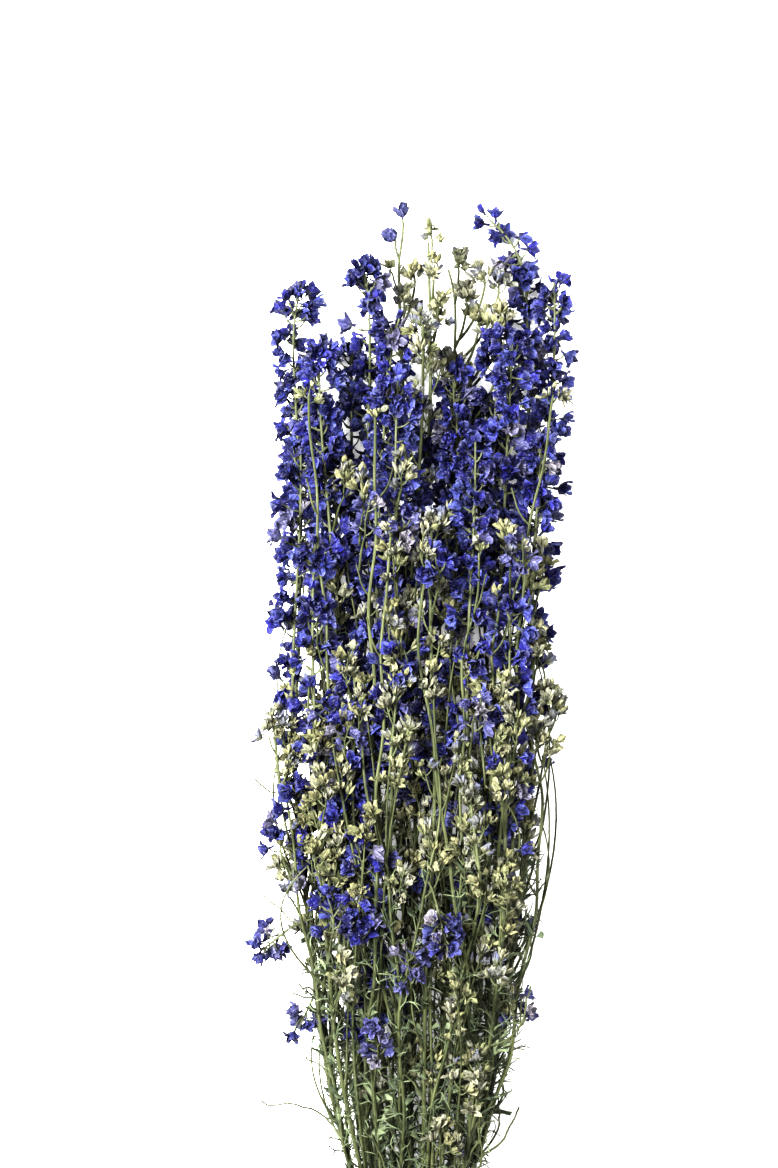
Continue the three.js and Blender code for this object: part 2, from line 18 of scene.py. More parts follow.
import bpy
import numpy as np
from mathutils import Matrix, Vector

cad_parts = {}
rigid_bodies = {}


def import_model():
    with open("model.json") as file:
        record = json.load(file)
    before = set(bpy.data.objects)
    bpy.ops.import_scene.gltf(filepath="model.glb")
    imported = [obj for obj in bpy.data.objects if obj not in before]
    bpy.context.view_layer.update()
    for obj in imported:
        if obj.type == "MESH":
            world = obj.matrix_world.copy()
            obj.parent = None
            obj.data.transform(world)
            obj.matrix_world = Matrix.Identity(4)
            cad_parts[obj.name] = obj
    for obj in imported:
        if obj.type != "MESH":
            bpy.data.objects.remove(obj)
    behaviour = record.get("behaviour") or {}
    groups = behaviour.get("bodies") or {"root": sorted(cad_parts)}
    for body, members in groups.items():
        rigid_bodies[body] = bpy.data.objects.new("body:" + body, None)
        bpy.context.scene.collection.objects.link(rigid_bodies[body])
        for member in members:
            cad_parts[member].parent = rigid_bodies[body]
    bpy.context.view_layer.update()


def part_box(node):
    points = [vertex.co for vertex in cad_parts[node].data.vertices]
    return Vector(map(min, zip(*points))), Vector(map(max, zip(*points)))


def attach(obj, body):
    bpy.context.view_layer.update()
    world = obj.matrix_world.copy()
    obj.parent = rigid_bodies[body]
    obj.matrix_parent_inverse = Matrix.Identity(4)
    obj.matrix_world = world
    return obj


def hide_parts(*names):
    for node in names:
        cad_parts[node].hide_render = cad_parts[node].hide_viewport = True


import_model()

# ---- The bunch, as its solids have it ----

CUT_Y = -398
CUT_STAGGER = 12
TIE_Y = -345
FULL_Y = 20
SPREAD_POWER = 1.9
LEAN_Y = 40
HOOK_LENGTH = 55
END_FLARE = 0.4
STEM_RADIUS_CUT = 1.65
STEM_RADIUS_TOP = 1.15
SWAY = 2.2
SWAY_PITCH = 46
SWAY_TURN = 1.7
SWING_TURN = 2.3
CUT_SEED = 7
TIE_PITCH_X = 3.75
TIE_PITCH_Z = 4.4
TIE_HALF = 8
TWINE = 2.4
TWINE_TURNS = 5
OUTLINE_SIDES = 16
REST_Z = 0.6
GAP = 0.3
LAYER_Z = [15, 42, 69, 96]
GOLDEN_ANGLE = 2.39996
STEP = 7  # from point to point along stems and branches

# A stem has its layer, the x of its straight part, the [x, y] of its tip, its spike's length and kind, and
# how far the tip hooks over.
Stem = namedtuple("Stem", "layer column tip length kind hook", defaults=[0])
STEMS = [
    Stem(0, -60, (-66, 262), 170, "blue"),
    Stem(0, -34, (-42, 296), 175, "blue"),
    Stem(0, -6, (-6, 383), 105, "cream", -6),
    Stem(0, 24, (31, 349), 95, "cream", -7),
    Stem(0, 49, (46, 258), 170, "blue"),
    Stem(0, 74, (76, 381), 180, "blue", -22),
    Stem(1, -74, (-76, 335), 195, "blue", 6),
    Stem(1, -49, (-49, 236), 165, "blue"),
    Stem(1, -24, (-30, 350), 190, "blue", -4),
    Stem(1, 1, (13, 364), 120, "cream"),
    Stem(1, 26, (29, 278), 180, "blue"),
    Stem(1, 51, (57, 306), 180, "blue"),
    Stem(1, 76, (92, 338), 195, "blue"),
    Stem(2, -75, (-74, 226), 190, "blue"),
    Stem(2, -50, (-58, 297), 185, "blue"),
    Stem(2, -25, (-15, 312), 180, "blue", 5),
    Stem(2, 0, (5, 306), 110, "cream"),
    Stem(2, 25, (28, 250), 180, "blue"),
    Stem(2, 50, (66, 296), 180, "blue"),
    Stem(2, 75, (84, 232), 175, "blue"),
    Stem(3, -61, (-62, 168), 170, "blue"),
    Stem(3, -36, (-36, 92), 180, "blue"),
    Stem(3, -13, (-8, 270), 190, "blue"),
    Stem(3, 12, (14, 178), 90, "cream"),
    Stem(3, 37, (38, 232), 190, "blue"),
    Stem(3, 62, (60, 142), 170, "blue"),
]

# A side spike's shoot has the stem that it leaves and at which height, and its spike's base, tip and kind.
Shoot = namedtuple("Shoot", "parent root base tip kind")
SHOOTS = [
    Shoot(13, -112, (-80, -82, 76), (-102, -100, 72), "blue"),
    Shoot(6, -178, (-65, -130, 54), (-74, -150, 48), "blue"),
    Shoot(13, -46, (-85, 10, 84), (-89, 52, 88), "cream"),
    Shoot(23, -140, (15, -62, 112), (24, -98, 116), "blue"),
    Shoot(19, -20, (84, 24, 78), (91, 64, 80), "cream"),
    Shoot(22, -60, (-14, 30, 116), (-10, 72, 117), "cream"),
    Shoot(24, -80, (42, -40, 114), (36, 6, 118), "cream"),
]


def lerp(a, b, t):
    return a + (b - a) * t


def clamp(t):
    return min(max(t, 0.0), 1.0)


def smooth(t):
    return clamp(t) ** 2 * (3 - 2 * clamp(t))


def first_draw(seed):
    """The first number that the solids' own random sequence gives for a seed."""
    state = seed * 2654435761 & 0xFFFFFFFF
    return (state * 1664525 + 1013904223 & 0xFFFFFFFF) / 2**32


def seat_in_tie(stem):
    row = sorted((other for other in STEMS if other.layer == stem.layer), key=lambda other: other.column)
    x = (row.index(stem) - (len(row) - 1) / 2) * TIE_PITCH_X
    return np.array([x, (stem.layer - (len(LAYER_Z) - 1) / 2) * TIE_PITCH_Z])


SEATS = [seat_in_tie(stem) for stem in STEMS]
TIE_DEPTH = (STEM_RADIUS_CUT + GAP + TWINE) * math.cos(math.pi / OUTLINE_SIDES)
TIE_Z = REST_Z + (len(LAYER_Z) - 1) / 2 * TIE_PITCH_Z + TIE_DEPTH

MM = 0.001
tie_low, tie_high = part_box("twine_tie")
ROW_ORIGIN = np.array((tie_low + tie_high) / 2) - np.array([0, TIE_Y, TIE_Z]) * MM


def to_row(points):
    return np.asarray(points, float) * MM + ROW_ORIGIN


def spread(y):
    """How far the bunch has opened at height y: 0 inside the tie, 1 at its full width."""
    t = clamp((y - TIE_Y - TIE_HALF) / (FULL_Y - TIE_Y - TIE_HALF))
    return 1 - (1 - t) ** SPREAD_POWER


def stem_point(index, y):
    stem = STEMS[index]
    opened = spread(y)
    flare = 1 + END_FLARE * clamp((TIE_Y - TIE_HALF - y) / (TIE_Y - TIE_HALF - CUT_Y))
    seat_x, seat_z = SEATS[index] * flare
    lean = smooth((y - LEAN_Y) / (stem.tip[1] - LEAN_Y))
    nod = clamp(1 - (stem.tip[1] - y) / HOOK_LENGTH) ** 3
    sway = SWAY * opened * math.sin(y / SWAY_PITCH + index * SWAY_TURN)
    swing = SWAY * opened * math.cos(y / SWAY_PITCH + index * SWING_TURN)
    x = lerp(seat_x, stem.column, opened) + (stem.tip[0] - stem.column) * lean + stem.hook * nod + sway
    z = lerp(TIE_Z + seat_z, LAYER_Z[stem.layer], opened) + swing
    return np.array([x, y, z])


def cut_y(index):
    return CUT_Y + CUT_STAGGER * first_draw(CUT_SEED + index)


def spike_base_y(index):
    return STEMS[index].tip[1] - STEMS[index].length


def stem_line(index, low, high):
    count = max(round((high - low) / STEP), 2)
    return [stem_point(index, lerp(low, high, i / count)) for i in range(count + 1)]


def unit(vector):
    return vector / np.linalg.norm(vector)


def bezier(start, bend, end, count):
    shares = np.linspace(0, 1, count + 1)[:, None]
    return list((1 - shares) ** 2 * start + 2 * shares * (1 - shares) * bend + shares**2 * end)


def tapered(first, last, count):
    return list(np.linspace(first, last, count))


# ---- Nodes: one way to build both shaders and Geometry Nodes trees ----


class Wire:
    """A socket that can be used in sums."""

    def __init__(self, nodes, socket):
        self.nodes = nodes
        self.socket = socket

    def maths(self, operation, *values):
        return self.nodes.add("ShaderNodeMath", {"operation": operation}, dict(enumerate(values)))

    def __add__(self, other):
        return self.maths("ADD", self, other)

    def __sub__(self, other):
        return self.maths("SUBTRACT", self, other)

    def __rsub__(self, other):
        return self.maths("SUBTRACT", other, self)

    def __mul__(self, other):
        return self.maths("MULTIPLY", self, other)

    def __pow__(self, other):
        return self.maths("POWER", self, other)

    __radd__ = __add__
    __rmul__ = __mul__

    def sine(self):
        return self.maths("SINE", self)

    def limited(self):
        """The value, kept from 0 to 1."""
        return self.maths("MAXIMUM", self.maths("MINIMUM", self, 1.0), 0.0)

    def floor(self):
        return self.maths("FLOOR", self)

    def above(self, other):
        """1 where the value is greater than the other, and 0 elsewhere."""
        return self.maths("GREATER_THAN", self, other)


class Nodes:
    """Adds nodes to a tree: settings go on the node itself, inputs are values or wires."""

    def __init__(self, tree):
        self.tree = tree

    def plug(self, socket, value):
        """Gives a socket its value or wire, or a list of wires where it takes several."""
        if isinstance(value, list):
            for wire in reversed(value):
                self.tree.links.new(wire.socket, socket)
        elif isinstance(value, Wire):
            self.tree.links.new(value.socket, socket)
        else:
            socket.default_value = value

    def add(self, kind, settings=None, inputs=None, output=0):
        node = self.tree.nodes.new(kind)
        for name, value in (settings or {}).items():
            setattr(node, name, value)
        for key, value in (inputs or {}).items():
            self.plug(node.inputs[key], value)
        return Wire(self, node.outputs[output])

    def attribute(self, name):
        return self.add("ShaderNodeAttribute", {"attribute_name": name}, output="Fac")

    def noise(self, place, scale, detail=2.0):
        return self.add("ShaderNodeTexNoise", {}, {"Vector": place, "Scale": scale, "Detail": detail})

    def mix(self, share, a, b):
        """Colour a where share is 0, and b where it is 1."""
        return self.add("ShaderNodeMix", {"data_type": "RGBA"}, {0: share, 6: a, 7: b}, output=2)

    def stained(self, base, *stains):
        """base with colours over it, each from where its value passes a start, by a slope up to a share."""
        for value, start, slope, share, code in stains:
            base = self.mix(((value - start) * slope).limited() * share, base, colour(code))
        return base


# ---- Camera, floor and light ----

FIELD = (505.7, 759.2)  # what the view takes in at the middle of the bunch's depth
FIELD_CENTRE = (-14.95, 140.4)
LENS = 100
SENSOR = 36


def make_camera():
    data = bpy.data.cameras.new("camera")
    data.lens = LENS
    data.sensor_width = SENSOR
    camera = bpy.data.objects.new("camera", data)
    depth = sum(LAYER_Z) / len(LAYER_Z)
    distance = FIELD[1] * LENS / SENSOR
    camera.location = to_row([FIELD_CENTRE[0], FIELD_CENTRE[1], depth + distance])
    bpy.context.scene.collection.objects.link(camera)
    bpy.context.scene.camera = camera


SOFTBOX_SIZE = 0.9
LIGHT_AIM = Vector((0, 0.1, 0))


def make_softbox(name, place, power):
    data = bpy.data.lights.new(name, "AREA")
    data.size = SOFTBOX_SIZE
    data.energy = power
    light = bpy.data.objects.new(name, data)
    light.location = place
    light.rotation_euler = (LIGHT_AIM - Vector(place)).to_track_quat("-Z", "Y").to_euler()
    bpy.context.scene.collection.objects.link(light)


def colour(code):
    """A colour written as in sRGB, as the linear values that a shader takes."""
    parts = [int(code[i : i + 2], 16) / 255 for i in (0, 2, 4)]
    linear = [p / 12.92 if p <= 0.04045 else ((p + 0.055) / 1.055) ** 2.4 for p in parts]
    return (*linear, 1.0)


FLOOR_HALF = 3.0
# The floor glows a little: it lifts the shadows cast on it towards white, and lights the bunch faintly from
# below.
FLOOR_GLOW = 0.26


def make_floor():
    half = FLOOR_HALF
    corners = [(-half, -half, 0), (half, -half, 0), (half, half, 0), (-half, half, 0)]
    mesh = bpy.data.meshes.new("floor")
    mesh.from_pydata(corners, [], [(0, 1, 2, 3)])
    floor = bpy.data.objects.new("floor", mesh)
    material = bpy.data.materials.new("pale surface")
    material.use_nodes = True
    surface = material.node_tree.nodes["Principled BSDF"]
    surface.inputs["Base Color"].default_value = colour("f4f4f2")
    surface.inputs["Roughness"].default_value = 0.9
    surface.inputs["Emission Color"].default_value = colour("ffffff")
    surface.inputs["Emission Strength"].default_value = FLOOR_GLOW
    mesh.materials.append(material)
    bpy.context.scene.collection.objects.link(floor)


def make_studio():
    world = bpy.data.worlds.new("studio")
    world.use_nodes = True
    world.node_tree.nodes["Background"].inputs["Color"].default_value = colour("ffffff")
    world.node_tree.nodes["Background"].inputs["Strength"].default_value = 0.03
    bpy.context.scene.world = world
    view = bpy.context.scene.view_settings
    view.view_transform = "Standard"
    view.exposure = 0.66
    view.gamma = 0.69
    make_softbox("main softbox", (-0.95, 0.55, 1.7), 190)
    make_softbox("fill softbox", (0.9, 0.25, 1.9), 38)


# ---- Finishes ----

PETAL_VALUES = ("tint", "tone", "fade", "stalk", "along", "across")
STEM_RIBS = 7
STRAND_GROOVES = 5


def new_material(name):
    """A new material, its nodes, its shader, and where each point lies on its piece."""
    material = bpy.data.materials.new(name)
    material.use_nodes = True
    nodes = Nodes(material.node_tree)
    surface = material.node_tree.nodes["Principled BSDF"]
    return material, nodes, surface, nodes.add("ShaderNodeTexCoord", output="Object")


def set_surface(nodes, surface, base, roughness, specular, height, strength, depth):
    """Plugs a finish into its shader: colour, roughness, gloss, and a relief whose depth is in metres."""
    nodes.plug(surface.inputs["Base Color"], base)
    nodes.plug(surface.inputs["Roughness"], roughness)
    surface.inputs["Specular IOR Level"].default_value = specular
    bump = nodes.add("ShaderNodeBump", {}, {"Strength": strength, "Distance": depth, "Height": height})
    nodes.plug(surface.inputs["Normal"], bump)


def petal_material():
    """Dried petals: ultramarine, some violet, some faded to lilac, veined and creased. Painted highlights lie
    on the raised crumples and the paler tips, and painted shade along each middle fold and at the green root.
    Stalks are green.
    """
    material, nodes, surface, place = new_material("dried blue petals")
    tint, tone, fade, stalk, along, across = map(nodes.attribute, PETAL_VALUES)
    cloud = nodes.noise(place, 190.0)
    crumple = nodes.noise(place, 560.0)
    fine = nodes.noise(place, 1400.0, 3.0)
    drift = nodes.noise(place, 34.0)
    blue = nodes.mix((tint * 1.4).limited(), colour("0f0f4a"), colour("2b297b"))
    blue = nodes.stained(
        blue,
        (tint, 0.78, 6, 0.7, "3c4672"),
        (drift, 0.5, 4, 0.6, "251a6c"),
        (tone, 0.7, 5, 0.55, "58609c"),
        (tone, 0.3, -5, 0.6, "080830"),
    )
    blue = nodes.mix(((cloud - 0.5) * 3 + 0.3).limited(), blue, colour("050528"))
    # Painted highlights: lighter patches on the raised crumples and fine relief, and paler tips that are
    # partly the petal's own pale edge and partly painted highlight.
    blue = nodes.stained(
        blue,
        (crumple, 0.56, 7, 0.5, "747692"),
        (fine, 0.6, 6, 0.35, "6e7090"),
        (along, 0.74, 5, 0.4, "787a94"),
    )
    faded = nodes.mix(cloud, colour("33375e"), colour("62607c"))
    # Painted highlights on the raised crumples of faded petals; the deeper fading is their own colour.
    faded = nodes.stained(faded, (crumple, 0.5, 5, 0.6, "84829a"), (fade, 0.72, 4, 0.8, "7c7878"))
    skin = nodes.mix(((fade - 0.35) * 3).limited(), blue, faded)
    # Painted shade along each petal's middle fold, where it cups, deepest towards the root.
    skin = nodes.mix((1 - across * across) ** 3 * (1 - along * 0.5) * 0.65, skin, colour("070718"))
    veins = ((across * 12 + cloud * 3).sine() * 0.5 + 0.5) ** 3
    skin = nodes.mix(veins * 0.3, skin, colour("0b0a24"))
    # Darker green at the root: partly the petal's own green base, partly painted shade in the heart of the
    # floret.
    skin = nodes.mix((1 - along * 5).limited() * 0.7, skin, colour("3c402a"))
    green = nodes.mix(cloud, colour("363b28"), colour("5c5f48"))
    height = veins * 0.3 + fine * 0.2 + crumple
    set_surface(nodes, surface, nodes.mix(stalk, skin, green), 0.5 + fine * 0.3, 0.27, height, 0.75, 0.0008)
    return material


def bud_material():
    """Dried buds: pale cream and yellow-green, greener at the root, some with a lilac bloom. Painted
    highlights lie on the raised crumples, and painted shade along each petal's middle fold.
    """
    material, nodes, surface, place = new_material("dried cream buds")
    tint, tone, fade, stalk, along, across = map(nodes.attribute, PETAL_VALUES)
    cloud = nodes.noise(place, 230.0)
    crumple = nodes.noise(place, 600.0)
    fine = nodes.noise(place, 1500.0, 3.0)
    cream = nodes.mix((tint * 2).limited(), colour("666950"), colour("78765a"))
    cream = nodes.stained(
        cream,
        (tint, 0.6, 4, 0.8, "82827c"),
        (tone, 0.7, 5, 0.5, "93917a"),
        (tone, 0.3, -5, 0.5, "484c30"),
        (cloud, 0.48, 3, 0.7, "4c503a"),
        # The next two are painted highlights on the raised crumples and fine relief.
        (crumple, 0.52, 6, 0.5, "918e76"),
        (fine, 0.6, 6, 0.4, "979580"),
    )
    lilac = nodes.mix(cloud, colour("464c6c"), colour("74747e"))
    bloom = ((fade - 0.3) * 2.2).limited() * (along * 1.6 - 0.2).limited()
    skin = nodes.mix(bloom, cream, lilac)
    skin = nodes.mix((1 - along * 2.2).limited() * 0.7, skin, colour("505638"))
    # Painted shade along each petal's middle fold, where it cups, deepest towards the root.
    skin = nodes.mix((1 - across * across) ** 3 * (1 - along * 0.6) * 0.6, skin, colour("20220f"))
    ribs = ((across * 9).sine() * 0.5 + 0.5) ** 2
    skin = nodes.mix(ribs * 0.25, skin, colour("44462a"))
    skin = nodes.stained(skin, (along, 0.88, 7, 0.4, "5f5438"))
    green = nodes.mix(cloud, colour("3a402a"), colour("5e624a"))
    height = ribs * 0.3 + fine * 0.4 + crumple
    set_surface(nodes, surface, nodes.mix(stalk, skin, green), 0.6 + fine * 0.25, 0.25, height, 0.8, 0.0007)
    return material


def stem_material():
    """Dried stems and leaves: olive to straw, the stems ribbed and streaked along their length."""
    material, nodes, surface, place = new_material("dried green stems")
    tint, stalk, around = map(nodes.attribute, ("tint", "stalk", "around"))
    streaked = nodes.add("ShaderNodeMapping", {}, {"Vector": place, "Scale": (1.0, 0.06, 1.0)})
    streaks = nodes.noise(streaked, 900.0, 3.0)
    cloud = nodes.noise(place, 26.0)
    fine = nodes.noise(place, 1300.0, 3.0)
    green = nodes.mix(((cloud - 0.35) * 2.2).limited(), colour("30371f"), colour("5c6042"))
    green = nodes.stained(green, (streaks, 0.45, 3, 0.6, "70725a"))
    leaf = nodes.mix(tint, colour("30382a"), colour("646c54"))
    green = nodes.mix(stalk, leaf, green)
    ribs = (around * (2 * math.pi * STEM_RIBS)).sine() * 0.5 + 0.5
    green = nodes.mix(ribs * stalk * 0.35, green, colour("1e2310"))
    height = ribs * stalk + streaks * 0.6 + fine * 0.3
    set_surface(nodes, surface, green, 0.5 + fine * 0.35, 0.3, height, 0.5, 0.0003)
    return material


def twine_material():
    """Jute: light brown, with long fibres, darker in the hollows and lighter on the crowns as painted shade
    and highlight.
    """
    material, nodes, surface, place = new_material("jute twine")
    around = nodes.attribute("around")
    fibres = nodes.noise(place, 1800.0, 4.0)
    cloud = nodes.noise(place, 120.0)
    brown = nodes.mix(cloud, colour("6e5632"), colour("8f7449"))
    brown = nodes.stained(brown, (fibres, 0.5, 3, 0.6, "40301c"))
    grooves = (around * (2 * math.pi * STRAND_GROOVES) + fibres * 3).sine() * 0.5 + 0.5
    # Painted shade and highlight: lighter where the grooves' relief stands high, darker in the hollows.
    brown = nodes.mix(grooves * 0.35, brown, colour("a78e62"))
    set_surface(nodes, surface, brown, 0.75 + fibres * 0.2, 0.5, grooves + fibres, 0.7, 0.0004)
    return material


# ---- Small shapes: each is closed, stands on the origin and points along +X ----

PETAL_THICKNESS = 0.35


def petal(length, width, bend, fold, rows, dice):
    """A pointed petal along +X whose inner face looks to +Z. bend curls it inwards and fold cups it."""
    shares = [(i + 1) / (rows + 0.45) for i in range(rows)]
    points = [(0, 0, 0), (length, dice.gauss(0, 0.05) * length, bend * length + dice.gauss(0, 0.05) * length)]
    faces, along, across = [], [0.0, 1.0], [0.0, 0.0]
    for i, t in enumerate(shares):
        half = width / 2 * t**0.65 * (1 - t**3) / 0.58 * dice.uniform(0.82, 1.14)
        middle = bend * length * t * t + dice.gauss(0, 0.06) * length
        lift = fold * half
        left, right = (lift + dice.gauss(0, 0.13) * length for _ in range(2))
        x = t * length
        points += [(x, half, middle + left), (x, -half, middle + right)]
        points += [(x, 0, middle + PETAL_THICKNESS / 2), (x, 0, middle - PETAL_THICKNESS / 2)]
        along += [t] * 4
        across += [1.0, -1.0, 0.0, 0.0]
        l, r, t1, b1 = range(2 + 4 * i, 6 + 4 * i)
        if i == 0:
            faces += [(0, r, t1), (0, t1, l), (0, b1, r), (0, l, b1)]
        if i == rows - 1:
            faces += [(r, 1, t1), (t1, 1, l), (r, b1, 1), (b1, l, 1)]
        else:
            l2, r2, t2, b2 = range(6 + 4 * i, 10 + 4 * i)
            faces += [(r, r2, t2), (r, t2, t1), (t1, t2, l2), (t1, l2, l)]
            faces += [(r, b2, r2), (r, b1, b2), (b1, l2, b2), (b1, l, l2)]
    return points, faces, along, across


def tube(line, radii, sides=3):
    """A rod along a line. It ends in a point where its last radius is 0."""
    line = np.asarray(line, float)
    points, faces, along = [], [], []
    last = len(line) - 1
    pointed = radii[-1] == 0
    for i, middle in enumerate(line):
        heading = unit(line[min(i + 1, last)] - line[max(i - 1, 0)])
        side = unit(np.cross(heading, (0.13, 0.94, 0.31)))
        up = np.cross(side, heading)
        for k in range(1 if pointed and i == last else sides):
            turn = 2 * math.pi * k / sides
            points.append(middle + radii[i] * (math.cos(turn) * side + math.sin(turn) * up))
            along.append(i / last)
    for i in range(last):
        for k in range(sides):
            here, beside = i * sides + k, i * sides + (k + 1) % sides
            if pointed and i == last - 1:
                faces.append((here, last * sides, beside))
            else:
                faces.append((here, here + sides, beside + sides, beside))
    faces.append(tuple(range(sides)))
    if not pointed:
        faces.append(tuple(reversed(range(last * sides, last * sides + sides))))
    return points, faces, along, [0.0] * len(points)


def husk(length, radius, sides, dice):
    """A closed bud along +X with shallow ribs and a pointed end."""
    points, along, across, faces = [(0, 0, 0)], [0.0], [0.0], []
    rings = [(0.22, 0.75), (0.5, 1.0), (0.78, 0.62)]
    for share, swell in rings:
        for k in range(sides):
            turn = 2 * math.pi * k / sides
            out = radius * swell * (1.0 if k % 2 else 0.8) * (1 + dice.gauss(0, 0.06))
            points.append((share * length, out * math.cos(turn), out * math.sin(turn)))
            along.append(share)
            across.append(k / sides * 2 - 1)
    end = len(points)
    points.append((length, dice.gauss(0, 0.04) * length, dice.gauss(0, 0.04) * length))
    along.append(1.0)
    across.append(0.0)
    for k in range(sides):
        beside = (k + 1) % sides
        faces.append((0, 1 + beside, 1 + k))
        for i in range(len(rings) - 1):
            a, b = 1 + i * sides, 1 + (i + 1) * sides
            faces.append((a + k, a + beside, b + beside, b + k))
        top = 1 + (len(rings) - 1) * sides
        faces.append((top + k, top + beside, end))
    return points, faces, along, across


def placing(origin, heading, inner):
    """The matrix that takes a shape's +X to heading and its +Z as near as can be to inner."""
    x = unit(np.asarray(heading, float))
    y = unit(np.cross(inner, x))
    place = np.identity(4)
    place[:3, :3] = np.column_stack([x, y, np.cross(x, y)])
    place[:3, 3] = origin
    return place


class Shape:
    """Parts gathered into one small mesh, with where each point is along and across its petal."""

    def __init__(self):
        self.points, self.faces = [], []
        self.values = defaultdict(list)

    def add(self, part, place=None, stalk=0.0, tone=0.5):
        points, faces, along, across = part
        first = len(self.points)
        points = np.asarray(points, float)
        if place is not None:
            points = points @ place[:3, :3].T + place[:3, 3]
        self.points += list(points)
        self.faces += [tuple(first + i for i in face) for face in faces]
        self.values["along"] += along
        self.values["across"] += across
        self.values["stalk"] += [stalk] * len(points)
        self.values["tone"] += [tone] * len(points)

    def make(self, name, origin=(0, 0, 0)):
        mesh = bpy.data.meshes.new(name)
        mesh.from_pydata([tuple(p) for p in np.asarray(self.points) * MM + origin], [], self.faces)
        for key, values in self.values.items():
            mesh.attributes.new(key, "FLOAT", "POINT").data.foreach_set("value", values)
        return bpy.data.objects.new(name, mesh)


def collect(name, shapes):
    """A collection of shapes, in their order, that trees pick from."""
    collection = bpy.data.collections.new(name)
    for i, shape in enumerate(shapes):
        collection.objects.link(shape.make(f"{name}_{i:02d}"))
    return collection


# A ring of petals: how many, how far round the first one stands, their length and width, how far they
# open, how they bend and fold, and in how many rows each is made.
Ring = namedtuple("Ring", "count turn length width opening bend fold rows")
PETAL_JITTER = 0.16


def turned_out(heading, turn):
    """The direction square to heading, at a turn round it."""
    e1 = unit(np.cross(heading, (0.1, 0.2, 0.97)))
    e2 = np.cross(heading, e1)
    return math.cos(turn) * e1 + math.sin(turn) * e2


def add_ring(shape, centre, heading, ring, dice, start=0.0, opened=1.0):
    """Petals round heading, each turned out from it by about the ring's opening."""
    for k in range(ring.count):
        turn = start + ring.turn + 2 * math.pi * k / ring.count + dice.gauss(0, PETAL_JITTER)
        out = turned_out(heading, turn)
        angle = opened * ring.opening + dice.gauss(0, PETAL_JITTER)
        axis = math.cos(angle) * heading + math.sin(angle) * out
        inner = math.sin(angle) * heading - math.cos(angle) * out
        size = dice.uniform(0.85, 1.12)
        bend = ring.bend + dice.gauss(0, 0.1)
        part = petal(ring.length * size, ring.width * size, bend, ring.fold, ring.rows, dice)
        shape.add(part, placing(centre + out * 0.5, axis, inner), tone=dice.random())


def stalk_to(shape, end, radius, dice):
    """A thin curved stalk from the origin to end, and the heading that it ends in."""
    end = np.asarray(end, float)
    bend = np.array([end[0] * 0.65, dice.gauss(0, 0.8), end[2] * 0.1])
    line = bezier(np.zeros(3), bend, end, 3)
    shape.add(tube(line, [radius, radius * 0.85, radius * 0.85, radius]), stalk=1.0)
    return unit(end - line[-2])


def on_stalk(seed, reach, aside, rise, radius):
    """A shape begun with its stalk, its dice, where the stalk ends and the heading that it ends in."""
    dice = random.Random(seed)
    shape = Shape()
    end = np.array([dice.uniform(*reach), dice.uniform(-aside, aside), dice.uniform(*rise)])
    return shape, dice, end, stalk_to(shape, end, radius, dice)


def bract(shape, length, dice):
    heading = np.array([math.cos(0.7), dice.gauss(0, 0.3), math.sin(0.7)])
    part = petal(length, length * 0.22, -0.15, 0.3, 2, dice)
    shape.add(part, placing((0.5, 0, -0.6), heading, (-0.5, 0, 1)), stalk=1.0)


FLORET_STALK = 0.58
FLORET_RINGS = [
    Ring(5, 0, 8.6, 5.6, 1.0, 0.2, 0.4, 3),
    Ring(4, 0.6, 6.6, 4.2, 0.6, 0.2, 0.45, 2),
    Ring(2, 1.4, 4.6, 2.6, 0.25, 0.1, 0.5, 1),
]


def open_floret(seed):
    """A crumpled double flower: five broad sepals, inner petals, a spur and its stalk."""
    dice = random.Random(seed)
    shape = Shape()
    reach = dice.uniform(5.0, 9.0)
    rise = dice.uniform(2.0, 5.5)
    centre = np.array([reach, dice.uniform(-1.2, 1.2), rise])
    stalk_to(shape, centre, FLORET_STALK, dice)
    bract(shape, dice.uniform(3.5, 6), dice)
    pitch = dice.uniform(-0.35, 0.55)
    heading = unit(np.array([math.cos(pitch), dice.gauss(0, 0.25), math.sin(pitch)]))
    opened = dice.uniform(0.7, 1.15)
    start = dice.uniform(0, 1.2)
    for ring in FLORET_RINGS:
        add_ring(shape, centre, heading, ring, dice, start, opened)
    tail = centre - heading * dice.uniform(3.5, 6.0) + np.array([0, dice.gauss(0, 1.2), dice.uniform(0.5, 3)])
    middle = (centre + tail) / 2 - np.array([0, 0, 0.6])
    shape.add(tube([centre + heading * 0.8, middle, tail], [1.0, 0.7, 0], 4))
    return shape


CLOSED_FLORET_STALK = 0.6
CLOSED_FLORET_RING = Ring(3, 0, 6.4, 3.8, 0.42, 0.12, 0.5, 2)


def closed_floret(seed):
    """A half-shut flower or a blue bud, as at the tips of the spikes."""
    shape, dice, centre, heading = on_stalk(seed, (3, 5.5), 0.8, (2.5, 4.5), CLOSED_FLORET_STALK)
    bract(shape, dice.uniform(3, 4.5), dice)
    shape.add(husk(dice.uniform(5, 7), 2.0, 6, dice), placing(centre, heading, (0, 0, 1)))
    add_ring(shape, centre, heading, CLOSED_FLORET_RING, dice, dice.uniform(0, 2))
    tail = centre - heading * 3 + np.array([0, dice.gauss(0, 0.8), 1.5])
    shape.add(tube([centre + heading, (centre + tail) / 2, tail], [0.9, 0.6, 0], 4))
    return shape


BUD_STALK = 0.4
OPEN_BUD_RINGS = [
    Ring(6, 0, 7.4, 3.2, 1.0, 0.2, 0.4, 2),
    Ring(4, 0.6, 6.0, 2.8, 0.6, 0.2, 0.45, 1),
    Ring(2, 1.4, 4.2, 2.2, 0.25, 0.15, 0.5, 1),
]


def open_bud(seed):
    """A small crumpled double flower that has dried pale."""
    shape, dice, centre, heading = on_stalk(seed, (2.5, 5.5), 1, (1.5, 4), BUD_STALK)
    opened = dice.uniform(0.55, 1.1)
    start = dice.uniform(0, 1.2)
    for ring in OPEN_BUD_RINGS:
        add_ring(shape, centre, heading, ring, dice, start, opened)
    return shape


